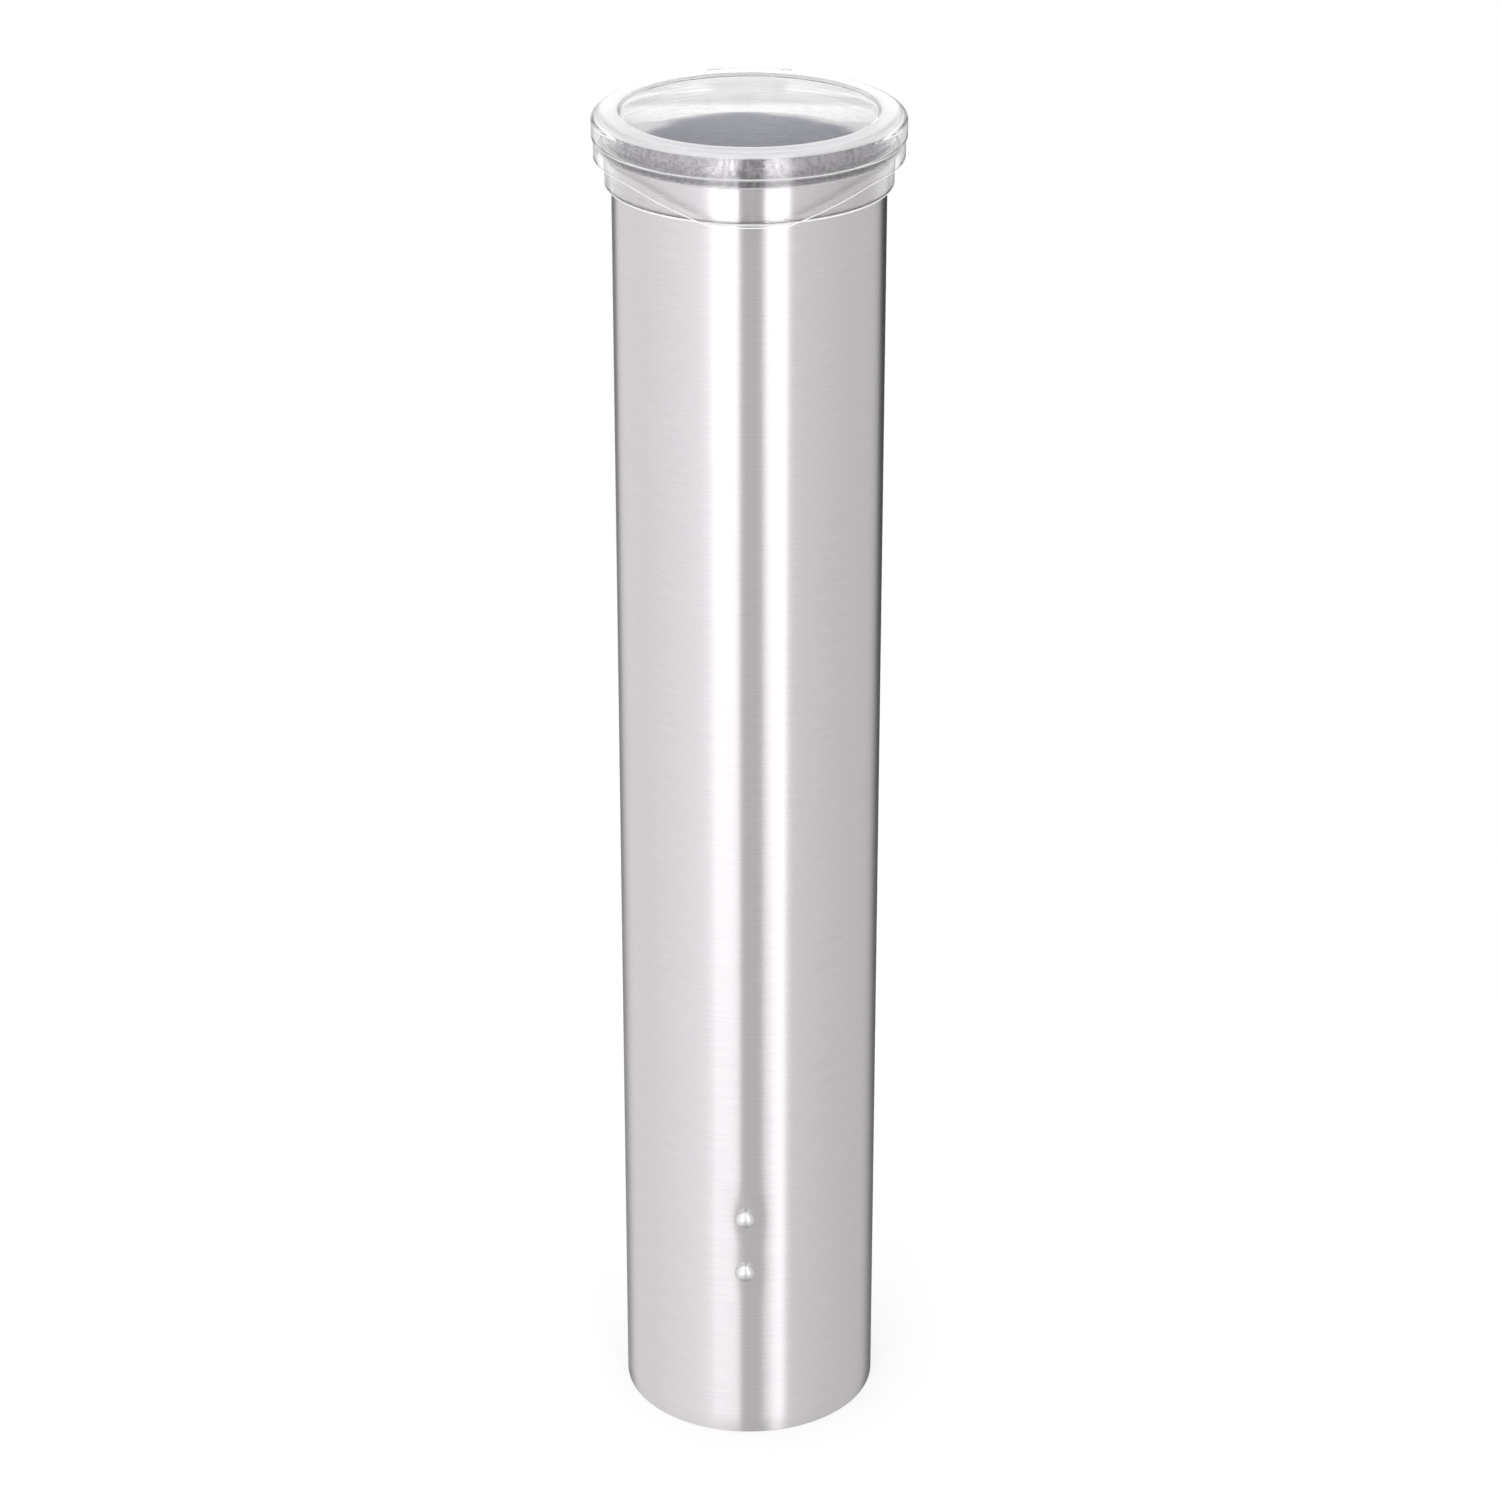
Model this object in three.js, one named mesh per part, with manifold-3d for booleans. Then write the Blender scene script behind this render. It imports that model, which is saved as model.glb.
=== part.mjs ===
// Cup dispenser: a brushed steel tube with a clear flip lid on a clear collar, three flexible
// fingers inside its foot that hold the lowest cup by the rim, and a folded bracket for the wall.
// Millimetres, +Z up. The tube stands on its lower rim, -Y is the front and +Y the wall side.

import * as THREE from 'three';
import { mergeVertices } from 'three/addons/utils/BufferGeometryUtils.js';
import Module from 'manifold-3d';

// Gap left between two pieces that touch, and how far a cutter runs past what it cuts
const FIT_GAP = 0.3;
const CUT_OVERRUN = 6;

// Tube
const TUBE_DIAMETER = 76;
const TUBE_WALL = 0.6;
const TUBE_HEIGHT = 402;

// Collar: drops are measured down from the top edge of the tube
const SKIRT_WALL = 1.6;
const SKIRT_DROP = 17.7;
const SKIRT_ROUND = 0.8;
const FLANGE_REACH = 1.3;
const FLANGE_THICKNESS = 2.4;
const FLANGE_DROP = 4.7;
const FLANGE_ROUND = 0.4;
const NECK_WALL = 1.7;
const NECK_ROUND = 0.6;
const COLLAR_ROOF = 0.8;
const LIP_WALL = 0.9;
const LIP_DROP = 2.7;
const CLIP_WIDTH = 23.4;
const CLIP_DROP = 11;
const CLIP_ROUND = 2;

// Lid
const LID_SIDE_GAP = 0.4;
const LID_THICKNESS = 1;
const APRON_WALL = 1.3;
const APRON_DROP = 2.7;
const APRON_EDGE_ROUND = 0.4;
const APRON_BACK_ANGLE = THREE.MathUtils.degToRad(75);
const TONGUE_LENGTH = 7.8;
const TONGUE_WIDTH = 20;
const RAMP_WIDTH = 24;
const RIM_STEP = 0.5;
const RIM_LIFT = 0.9;
const REAR_LIFT = 0.6;
const RIM_ROUND_WIDTH = 5;
const RIM_ROUND_HEIGHT = 2.6;
const BEAD_WIDTH = 7.2;
const BEAD_RISE = 0.6;
const BEAD_SLOPE = 0.9;
const BEAD_ROUND = 0.5;
const LID_INNER_ROUND = 1.2;

// Hinge
const HINGE_WIDTH = 24;
const HINGE_SETBACK = 1.6;
const HINGE_DEPTH = 3.4;
const KNUCKLE_RADIUS = 2.6;
const KNUCKLE_RELIEF = 0.35;
const EAR_WIDTH = 4;
const EAR_DROP = 12;
const EAR_FLANK_ANGLE = THREE.MathUtils.degToRad(-35);
const PIN_RADIUS = 1;
const PIN_SHORTFALL = 0.3;
const HEEL_THICKNESS = 2.2;
const HEEL_ROUND = 1;
const ARM_LEAD = 0.6;
const ARM_CREST_ANGLE = THREE.MathUtils.degToRad(60);

// Fingers: heights are measured up from the lower rim of the tube
const FINGER_TURN = THREE.MathUtils.degToRad(-1.9);
const FINGER_THICKNESS = 0.8;
const FINGER_WIDTH = 16;
const FINGER_TIP_WIDTH = 12;
const FINGER_ROUND = 3;
const PAD_MARGIN = 9.5;
const BEND_HEIGHT = 49;
const BEND_GAP = 0.5;
const NOSE_RADIUS = 28;
const NOSE_HEIGHT = 25;
const NOSE_ROUND = 1.6;
const HOOK_LENGTH = 3;
const HOOK_REACH = 1.2;

// Backing plates
const PLATE_THICKNESS = 0.5;
const PLATE_WIDTH = 11;
const PLATE_MARGIN = 5.5;
const PLATE_ROUND = 2;

// Rivets of the fingers
const RIVET_UPPER_HEIGHT = 75.5;
const RIVET_LOWER_HEIGHT = 57;
const RIVET_SHANK_RADIUS = 1.6;
const RIVET_HEAD_RADIUS = 3;
const RIVET_HEAD_HEIGHT = 2;
const RIVET_TAIL_RADIUS = 2.6;
const RIVET_TAIL_HEIGHT = 0.7;

// Wall bracket
const BRACKET_LENGTH = 190;
const BRACKET_BASE_HEIGHT = 110;
const BRACKET_THICKNESS = 1;
const BRACKET_WIDTH = 30;
const BRACKET_BEND = 2;
const BRACKET_FLANGE_WIDTH = 14;
const WALL_CLEARANCE = 0.6;
const BRACKET_ROUND = 3;
const KEYHOLE_INSET = 20;
const KEYHOLE_RADIUS = 4.5;
const KEYHOLE_SLOT_RADIUS = 2.3;
const KEYHOLE_SLOT_LENGTH = 9;
const BRACKET_RIVET_INSET = 14;
const BRACKET_RIVET_SHANK_RADIUS = 1.6;
const BRACKET_RIVET_HEAD_RADIUS = 2.8;
const BRACKET_RIVET_HEAD_HEIGHT = 0.8;
const BRACKET_RIVET_TAIL_RADIUS = 2.4;
const BRACKET_RIVET_TAIL_HEIGHT = 1;

// Smoothness, as numbers of flats
const ROUND_SIDES = 72;
const SMALL_SIDES = 16;
const ARC_STEPS = 3;
const FINE_STEPS = 2;
const RIM_STEPS = 6;
const RIVET_SIDES = 12;
const DOME_STEPS = 3;
const FLANGE_STEPS = 6;

// Radii and heights that follow from the sizes above
const tubeRadius = TUBE_DIAMETER / 2;
const boreRadius = tubeRadius - TUBE_WALL;
const skirtInner = tubeRadius + FIT_GAP;
const skirtOuter = skirtInner + SKIRT_WALL;
const skirtBottom = TUBE_HEIGHT - SKIRT_DROP;
const flangeOuter = skirtOuter + FLANGE_REACH;
const flangeTop = TUBE_HEIGHT - FLANGE_DROP;
const flangeBottom = flangeTop - FLANGE_THICKNESS;
const neckOuter = skirtInner + NECK_WALL;
const lipOuter = boreRadius - FIT_GAP;
const lipInner = lipOuter - LIP_WALL;
const lipBottom = TUBE_HEIGHT - LIP_DROP;
const roofUnder = TUBE_HEIGHT + FIT_GAP;
const roofTop = roofUnder + COLLAR_ROOF;
const lidInner = flangeOuter + LID_SIDE_GAP;
const apronOuter = lidInner + APRON_WALL;
const apronBottom = flangeBottom - APRON_DROP;
const tongueBottom = apronBottom - TONGUE_LENGTH;
const rimOuter = apronOuter + RIM_STEP;
const rimBottom = flangeTop + RIM_LIFT;
const lidUnder = roofTop + FIT_GAP;
const discTop = lidUnder + LID_THICKNESS;
const beadTop = discTop + BEAD_RISE;
const beadInner = rimOuter - BEAD_WIDTH;
const hingeY = rimOuter + HINGE_SETBACK;
const hingeZ = discTop - HINGE_DEPTH;
const wallY = hingeY + (beadTop - hingeZ) + WALL_CLEARANCE;
const padOuter = boreRadius - FIT_GAP;
const padInner = padOuter - FINGER_THICKNESS;
const plateOuter = padInner - FIT_GAP;
const plateInner = plateOuter - PLATE_THICKNESS;
const hingeHalf = HINGE_WIDTH / 2;
const earInner = hingeHalf - EAR_WIDTH;

// Places of what repeats: angles are turned from the front, seen from above
const FINGER_NAMES = ['front', 'right', 'left'];
const fingerAngles = FINGER_NAMES.map((_, i) => FINGER_TURN + (i * 2 * Math.PI) / FINGER_NAMES.length);
const rivetHeights = [RIVET_LOWER_HEIGHT, RIVET_UPPER_HEIGHT];
const flangeMid = tubeRadius + FIT_GAP + BRACKET_THICKNESS / 2;
const flangeStart = Math.asin((BRACKET_WIDTH - BRACKET_THICKNESS) / 2 / flangeMid);
const flangeEnd = flangeStart + BRACKET_FLANGE_WIDTH / flangeMid;
const bracketRivetAngles = [-1, 1].map((side) => Math.PI + (side * (flangeStart + flangeEnd)) / 2);
const bracketRivetHeights = [
  BRACKET_BASE_HEIGHT + BRACKET_RIVET_INSET,
  BRACKET_BASE_HEIGHT + BRACKET_LENGTH - BRACKET_RIVET_INSET,
];

// Booleans

const wasm = await Module();
wasm.setup();

// A closed mesh as a solid that can be joined and cut.
function solidOf(geometry) {
  const bare = geometry.clone();
  bare.deleteAttribute('normal');
  bare.deleteAttribute('uv');
  const merged = mergeVertices(bare);
  const corners = merged.index.array;
  const triangles = [];
  for (let i = 0; i < corners.length; i += 3) {
    const [a, b, c] = corners.slice(i, i + 3);
    if (a !== b && b !== c && c !== a) triangles.push(a, b, c);
  }
  return new wasm.Manifold(new wasm.Mesh({
    numProp: 3,
    vertProperties: merged.attributes.position.array,
    triVerts: new Uint32Array(triangles),
  }));
}

function geometryOf(solid) {
  const { vertProperties, triVerts } = solid.getMesh();
  const indexed = new THREE.BufferGeometry();
  indexed.setAttribute('position', new THREE.BufferAttribute(vertProperties, 3));
  indexed.setIndex(new THREE.BufferAttribute(triVerts, 1));
  const faceted = indexed.toNonIndexed();
  faceted.computeVertexNormals();
  return faceted;
}

const join = (base, ...others) => others.reduce((sum, other) => sum.add(solidOf(other)), base);
const cut = (base, ...tools) => tools.reduce((rest, tool) => rest.subtract(solidOf(tool)), base);

// Outlines

// Rounds the corners of an outline. A corner is [across, up, radius, steps].
function rounded(corners) {
  return corners.flatMap(([x, y, radius = 0, steps = ARC_STEPS], i) => {
    const corner = new THREE.Vector2(x, y);
    if (radius === 0) return [corner];
    const [beforeX, beforeY] = corners.at(i - 1);
    const [afterX, afterY] = corners[(i + 1) % corners.length];
    const before = new THREE.Vector2(beforeX, beforeY).sub(corner).normalize();
    const after = new THREE.Vector2(afterX, afterY).sub(corner).normalize();
    const halfAngle = Math.acos(before.dot(after)) / 2;
    const inward = before.clone().add(after).normalize();
    const centre = corner.clone().addScaledVector(inward, radius / Math.sin(halfAngle));
    const start = corner.clone().addScaledVector(before, radius / Math.tan(halfAngle));
    const sweep = (Math.PI - 2 * halfAngle) * -Math.sign(before.cross(after));
    const arc = (step) => start.clone().rotateAround(centre, (sweep * step) / steps);
    return Array.from({ length: steps + 1 }, (_, step) => arc(step));
  });
}

// Both sides of a strip of even thickness that follows an open line of points.
function ribbon(line, thickness) {
  const side = (turn) => line.map((point, i) => {
    const into = point.clone().sub(line[Math.max(i - 1, 0)]).normalize();
    const out = line[Math.min(i + 1, line.length - 1)].clone().sub(point).normalize();
    const along = into.clone().add(out).normalize();
    const mitre = Math.max(along.dot(into), along.dot(out));
    const normal = new THREE.Vector2(-along.y, along.x);
    return point.clone().addScaledVector(normal, (turn * thickness) / 2 / mitre);
  });
  return [...side(-1), ...side(1).reverse()];
}

function circle(x, y, radius, sides = SMALL_SIDES) {
  return arc(x, y, radius, 0, 2 * Math.PI * (1 - 1 / sides), sides - 1);
}

function arc(x, y, radius, from, to, steps) {
  return Array.from({ length: steps + 1 }, (_, step) => {
    const angle = from + ((to - from) * step) / steps;
    return new THREE.Vector2(x + radius * Math.cos(angle), y + radius * Math.sin(angle));
  });
}

const mirrored = (points) => points.map((point) => new THREE.Vector2(-point.x, point.y));

// Forms made from outlines

// Turns [radius, height] points round the vertical axis.
function revolve(points, sides = ROUND_SIDES) {
  return new THREE.LatheGeometry(points, sides).rotateX(Math.PI / 2);
}

const revolveLoop = (points, sides) => revolve([...points, points[0]], sides);

// Planes that an outline can be drawn in: each is pushed along the third direction.
const RIGHT = new THREE.Vector3(1, 0, 0);
const BACK = new THREE.Vector3(0, 1, 0);
const UP = new THREE.Vector3(0, 0, 1);
const PLAN = new THREE.Matrix4().makeBasis(RIGHT, BACK, UP);
const SIDE = new THREE.Matrix4().makeBasis(BACK, UP, RIGHT);
const REAR = new THREE.Matrix4().makeBasis(RIGHT.clone().negate(), UP, BACK);

function prism(plane, points, from, to) {
  const options = { depth: to - from, bevelEnabled: false };
  const geometry = new THREE.ExtrudeGeometry(new THREE.Shape(points), options);
  return geometry.translate(0, 0, from).applyMatrix4(plane);
}

// Round holes through the tube's wall for rivets, one at each angle and height.
function rivetHoles(shankRadius, angles, heights) {
  const radius = shankRadius + FIT_GAP;
  return angles.flatMap((angle) => heights.map((height) => (
    prism(REAR, circle(0, height, radius), -tubeRadius - CUT_OVERRUN, 0).rotateZ(angle)
  )));
}

const fingerHoles = (angles) => rivetHoles(RIVET_SHANK_RADIUS, angles, rivetHeights);

const bracketHoles = () => (
  rivetHoles(BRACKET_RIVET_SHANK_RADIUS, bracketRivetAngles, bracketRivetHeights)
);

// Tube

function tubeSolid() {
  const wall = revolveLoop(rounded([
    [boreRadius, 0],
    [tubeRadius, 0],
    [tubeRadius, TUBE_HEIGHT],
    [boreRadius, TUBE_HEIGHT],
  ]));
  return cut(solidOf(wall), ...fingerHoles(fingerAngles), ...bracketHoles());
}

// Collar: a ring in the shape of an upturned U that the top edge of the tube goes into

function collarSolid() {
  const ring = revolveLoop(rounded([
    [skirtInner, skirtBottom],
    [skirtOuter, skirtBottom, SKIRT_ROUND],
    [skirtOuter, flangeBottom],
    [flangeOuter, flangeBottom, FLANGE_ROUND, FINE_STEPS],
    [flangeOuter, flangeTop, FLANGE_ROUND, FINE_STEPS],
    [neckOuter, flangeTop],
    [neckOuter, roofTop, NECK_ROUND],
    [lipInner, roofTop, LIP_WALL / 2, FINE_STEPS],
    [lipInner, lipBottom],
    [lipOuter, lipBottom],
    [lipOuter, roofUnder],
    [skirtInner, roofUnder],
  ]));
  const body = [...hingeEars(), clipSolid()].reduce((sum, other) => sum.add(other), solidOf(ring));
  return cut(body, pinBore());
}

// Two gusseted ears stand out from the back of the skirt and carry the pin.
function hingeEars() {
  const rootY = Math.sqrt(skirtInner ** 2 - hingeHalf ** 2);
  const outline = [
    new THREE.Vector2(rootY, hingeZ),
    new THREE.Vector2(rootY, hingeZ - EAR_DROP),
    new THREE.Vector2(skirtOuter, hingeZ - EAR_DROP),
    ...arc(hingeY, hingeZ, KNUCKLE_RADIUS, EAR_FLANK_ANGLE, Math.PI, SMALL_SIDES),
  ];
  const tubeSpace = revolve([
    new THREE.Vector2(0, skirtBottom),
    new THREE.Vector2(skirtInner, skirtBottom),
    new THREE.Vector2(skirtInner, roofUnder),
    new THREE.Vector2(0, roofUnder),
  ]);
  return [[-hingeHalf, -earInner], [earInner, hingeHalf]].map(([from, to]) => (
    cut(solidOf(prism(SIDE, outline, from, to)), tubeSpace)
  ));
}

// A tongue of the inner lip reaches down inside the tube at the back and grips its wall.
function clipSolid() {
  const top = lipBottom + LIP_WALL;
  const bottom = TUBE_HEIGHT - CLIP_DROP;
  const half = CLIP_WIDTH / 2;
  const ring = revolveLoop(rounded([
    [lipInner, bottom],
    [lipOuter, bottom],
    [lipOuter, top],
    [lipInner, top],
  ]));
  const outline = rounded([
    [-half, top],
    [-half, bottom, CLIP_ROUND],
    [half, bottom, CLIP_ROUND],
    [half, top],
  ]);
  return solidOf(ring).intersect(solidOf(prism(REAR, outline, 0, tubeRadius)));
}

// Lid

function lidSolid() {
  const shell = revolve(rounded([
    [0, lidUnder],
    [lidInner, lidUnder, LID_INNER_ROUND],
    [lidInner, tongueBottom],
    [apronOuter, tongueBottom, APRON_EDGE_ROUND, FINE_STEPS],
    [apronOuter, rimBottom - RIM_STEP],
    [rimOuter, rimBottom],
    ...rimRound().map(({ x, y }) => [x, y]),
    [beadInner, beadTop, BEAD_ROUND, FINE_STEPS],
    [beadInner - BEAD_SLOPE, discTop],
    [0, discTop],
  ]));
  const trimmed = cut(solidOf(shell), ...frontRamps(), rearTrim(), ...hingeWindow());
  return cut(join(trimmed, ...hingeBarrel()), pinBore());
}

// The rim turns over into the bead in a quarter of a flat ellipse.
function rimRound() {
  const turn = arc(0, 0, 1, 0, Math.PI / 2, RIM_STEPS);
  const size = new THREE.Vector2(RIM_ROUND_WIDTH, RIM_ROUND_HEIGHT);
  const centre = new THREE.Vector2(rimOuter, beadTop).sub(size);
  return turn.map((point) => point.multiply(size).add(centre));
}

// Each side of the apron's lower edge climbs from the finger tongue to the sides.
function frontRamps() {
  const foot = TONGUE_WIDTH / 2;
  const low = tongueBottom - CUT_OVERRUN;
  const outer = rimOuter + CUT_OVERRUN;
  const outline = rounded([
    [foot - (RAMP_WIDTH * CUT_OVERRUN) / TONGUE_LENGTH, low],
    [outer, low],
    [outer, apronBottom],
    [foot + RAMP_WIDTH, apronBottom, RAMP_WIDTH],
  ]);
  return [outline, mirrored(outline)].map((points) => prism(REAR, points, -outer, outer));
}

// Behind the sides the apron stops at the rim, so that the lid can swing past the collar.
function rearTrim() {
  const from = lidInner * Math.cos(APRON_BACK_ANGLE);
  const outer = rimOuter + CUT_OVERRUN;
  const low = tongueBottom - CUT_OVERRUN;
  const outline = rounded([
    [from, low],
    [outer, low],
    [outer, flangeTop + REAR_LIFT],
    [from, flangeTop + REAR_LIFT, REAR_LIFT + RIM_LIFT],
  ]);
  return prism(SIDE, outline, -outer, outer);
}

// A window in the rim clears the collar's ears.
function hingeWindow() {
  const half = hingeHalf + LID_SIDE_GAP;
  const window = rounded([
    [skirtInner, tongueBottom],
    [rimOuter + CUT_OVERRUN, tongueBottom],
    [rimOuter + CUT_OVERRUN, hingeZ + FIT_GAP],
    [skirtInner, hingeZ + FIT_GAP],
  ]);
  const relief = circle(hingeY, hingeZ, KNUCKLE_RADIUS + KNUCKLE_RELIEF, ROUND_SIDES / 2);
  return [window, relief].map((points) => prism(SIDE, points, -half, half));
}

// The barrel between the ears, the arm that joins it to the lid, and the heel that stops the
// lid upright against the collar's neck.
function hingeBarrel() {
  const half = earInner - FIT_GAP;
  const heelReach = hingeY - neckOuter - FIT_GAP;
  const armTop = arc(hingeY, hingeZ, KNUCKLE_RADIUS, ARM_CREST_ANGLE, Math.PI / 2, FINE_STEPS);
  const arm = [
    new THREE.Vector2(neckOuter, lidUnder + LID_THICKNESS / 2),
    new THREE.Vector2(neckOuter + ARM_LEAD, lidUnder),
    new THREE.Vector2(hingeY - KNUCKLE_RADIUS, hingeZ),
    new THREE.Vector2(hingeY, hingeZ),
    ...armTop,
    new THREE.Vector2(hingeY - KNUCKLE_RADIUS / 2, discTop),
    new THREE.Vector2(neckOuter, discTop),
  ];
  const heel = rounded([
    [hingeY - HEEL_THICKNESS / 2, hingeZ],
    [hingeY - HEEL_THICKNESS / 2, hingeZ - heelReach, HEEL_ROUND],
    [hingeY + HEEL_THICKNESS / 2, hingeZ - heelReach, HEEL_ROUND],
    [hingeY + HEEL_THICKNESS / 2, hingeZ],
  ]);
  const barrel = circle(hingeY, hingeZ, KNUCKLE_RADIUS, ROUND_SIDES / 2);
  return [arm, heel, barrel].map((points) => prism(SIDE, points, -half, half));
}

function pinBore() {
  const half = hingeHalf + CUT_OVERRUN;
  return prism(SIDE, circle(hingeY, hingeZ, PIN_RADIUS + FIT_GAP), -half, half);
}

// Fingers: each is one flexible strip, drawn as a fixed pad and a blade that flexes at the bend

// The part of a ring that lies in front of the axis and inside an outline seen from the front.
function frontSector(ring, outline) {
  const block = prism(REAR, outline, -tubeRadius, 0);
  return solidOf(revolveLoop(ring)).intersect(solidOf(block));
}

function padSolid() {
  const bottom = BEND_HEIGHT + BEND_GAP / 2;
  const top = RIVET_UPPER_HEIGHT + PAD_MARGIN;
  const ring = rounded([
    [padInner, bottom],
    [padOuter, bottom],
    [padOuter, top],
    [padInner, top],
  ]);
  const outline = rounded([
    [-FINGER_WIDTH / 2, bottom],
    [FINGER_WIDTH / 2, bottom],
    [FINGER_WIDTH / 2, top, FINGER_ROUND],
    [-FINGER_WIDTH / 2, top, FINGER_ROUND],
  ]);
  return cut(frontSector(ring, outline), ...fingerHoles([0]));
}

function bladeSolid() {
  const top = BEND_HEIGHT - BEND_GAP / 2;
  const nose = NOSE_RADIUS + FINGER_THICKNESS / 2;
  const foot = NOSE_HEIGHT - HOOK_LENGTH;
  const line = rounded([
    [(padInner + padOuter) / 2, top],
    [nose, NOSE_HEIGHT, NOSE_ROUND],
    [nose + HOOK_REACH, foot],
  ]);
  const outline = rounded([
    [-FINGER_WIDTH / 2, top + FINGER_THICKNESS],
    [-FINGER_TIP_WIDTH / 2, foot, FINGER_ROUND],
    [FINGER_TIP_WIDTH / 2, foot, FINGER_ROUND],
    [FINGER_WIDTH / 2, top + FINGER_THICKNESS],
  ]);
  return frontSector(ribbon(line, FINGER_THICKNESS), outline);
}

function plateSolid() {
  const bottom = RIVET_LOWER_HEIGHT - PLATE_MARGIN;
  const top = RIVET_UPPER_HEIGHT + PLATE_MARGIN;
  const ring = rounded([
    [plateInner, bottom],
    [plateOuter, bottom],
    [plateOuter, top],
    [plateInner, top],
  ]);
  const outline = rounded([
    [-PLATE_WIDTH / 2, bottom, PLATE_ROUND],
    [PLATE_WIDTH / 2, bottom, PLATE_ROUND],
    [PLATE_WIDTH / 2, top, PLATE_ROUND],
    [-PLATE_WIDTH / 2, top, PLATE_ROUND],
  ]);
  return cut(frontSector(ring, outline), ...fingerHoles([0]));
}

// Rivets: turned about their own length, which is measured out from the axis of the tube

// A quarter of an ellipse, from the edge of a domed end to its middle.
function dome(radius, base, rise) {
  return Array.from({ length: DOME_STEPS + 1 }, (_, step) => {
    const angle = (Math.PI / 2) * (step / DOME_STEPS);
    const across = step === DOME_STEPS ? 0 : radius * Math.cos(angle);
    return new THREE.Vector2(across, base + rise * Math.sin(angle));
  });
}

function rivetSolid({ shank, innerRadius, innerRise, innerSeat, outerRadius, outerRise, outerSeat }) {
  const profile = [
    ...dome(innerRadius, innerSeat, -innerRise).reverse(),
    new THREE.Vector2(shank, innerSeat),
    new THREE.Vector2(shank, outerSeat),
    ...dome(outerRadius, outerSeat, outerRise),
  ];
  return solidOf(new THREE.LatheGeometry(profile, RIVET_SIDES).rotateX(Math.PI));
}

const fingerRivetSolid = () => rivetSolid({
  shank: RIVET_SHANK_RADIUS,
  innerRadius: RIVET_TAIL_RADIUS,
  innerRise: RIVET_TAIL_HEIGHT,
  innerSeat: plateInner - FIT_GAP,
  outerRadius: RIVET_HEAD_RADIUS,
  outerRise: RIVET_HEAD_HEIGHT,
  outerSeat: tubeRadius + FIT_GAP,
});

const bracketRivetSolid = () => rivetSolid({
  shank: BRACKET_RIVET_SHANK_RADIUS,
  innerRadius: BRACKET_RIVET_HEAD_RADIUS,
  innerRise: BRACKET_RIVET_HEAD_HEIGHT,
  innerSeat: boreRadius - FIT_GAP,
  outerRadius: BRACKET_RIVET_TAIL_RADIUS,
  outerRise: BRACKET_RIVET_TAIL_HEIGHT,
  outerSeat: tubeRadius + FIT_GAP + BRACKET_THICKNESS + FIT_GAP,
});

// Hinge pin

function pinSolid() {
  const half = hingeHalf - PIN_SHORTFALL;
  return solidOf(prism(SIDE, circle(0, 0, PIN_RADIUS), -half, half));
}

// Wall bracket: a folded channel whose flanges follow the tube, with two keyholes in its back

function bracketSolid() {
  const legX = (BRACKET_WIDTH - BRACKET_THICKNESS) / 2;
  const webY = wallY - BRACKET_THICKNESS / 2;
  const footY = Math.sqrt(flangeMid ** 2 - legX ** 2);
  const right = arc(0, 0, flangeMid, Math.PI / 2 - flangeEnd, Math.PI / 2 - flangeStart, FLANGE_STEPS);
  const bend = BRACKET_BEND;
  const half = [
    ...right.slice(0, -1).map(({ x, y }) => [x, y]),
    [legX, footY, bend / 2],
    [legX, webY, bend],
  ];
  const otherHalf = half.map(([x, y, ...rest]) => [-x, y, ...rest]).reverse();
  const strip = ribbon(rounded([...half, ...otherHalf]), BRACKET_THICKNESS);
  const bottom = BRACKET_BASE_HEIGHT;
  const top = BRACKET_BASE_HEIGHT + BRACKET_LENGTH;
  const halfSpan = (flangeMid + BRACKET_THICKNESS / 2) * Math.sin(flangeEnd);
  const sheet = rounded([
    [-halfSpan, bottom, BRACKET_ROUND],
    [halfSpan, bottom, BRACKET_ROUND],
    [halfSpan, top, BRACKET_ROUND],
    [-halfSpan, top, BRACKET_ROUND],
  ]);
  const channel = solidOf(prism(PLAN, strip, bottom, top));
  const trimmed = channel.intersect(solidOf(prism(REAR, sheet, 0, wallY + CUT_OVERRUN)));
  return cut(trimmed, ...keyholes(), ...bracketHoles());
}

// Each keyhole drops over a screw's head, and its slot then slides down the screw.
function keyholes() {
  const middle = BRACKET_BASE_HEIGHT + BRACKET_LENGTH / 2;
  const spacing = BRACKET_LENGTH - 2 * KEYHOLE_INSET;
  const from = wallY - BRACKET_THICKNESS - CUT_OVERRUN / 2;
  const to = wallY + CUT_OVERRUN;
  const mouth = Math.asin(KEYHOLE_SLOT_RADIUS / KEYHOLE_RADIUS);
  const half = Math.PI;
  return [-1, 1].map((side) => {
    const height = middle + (side * spacing - KEYHOLE_SLOT_LENGTH) / 2;
    const outline = [
      ...arc(0, height, KEYHOLE_RADIUS, half / 2 + mouth, (half * 5) / 2 - mouth, SMALL_SIDES),
      ...arc(0, height + KEYHOLE_SLOT_LENGTH, KEYHOLE_SLOT_RADIUS, 0, half, SMALL_SIDES / 2),
    ];
    return prism(REAR, outline, from, to);
  });
}

// Materials

const brushedSteel = () => new THREE.MeshStandardMaterial({
  color: 0xc9c7ca,
  roughness: 0.34,
  metalness: 1,
});
const brightSteel = () => new THREE.MeshStandardMaterial({
  color: 0xe9e9ec,
  roughness: 0.16,
  metalness: 1,
});
const clearPlastic = () => new THREE.MeshStandardMaterial({
  color: 0xf3f4f7,
  roughness: 0.08,
  metalness: 0,
  transparent: true,
  opacity: 0.4,
});
const milkyPlastic = () => new THREE.MeshStandardMaterial({
  color: 0xe8e9ea,
  roughness: 0.4,
  metalness: 0,
});

// Assembly

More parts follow.
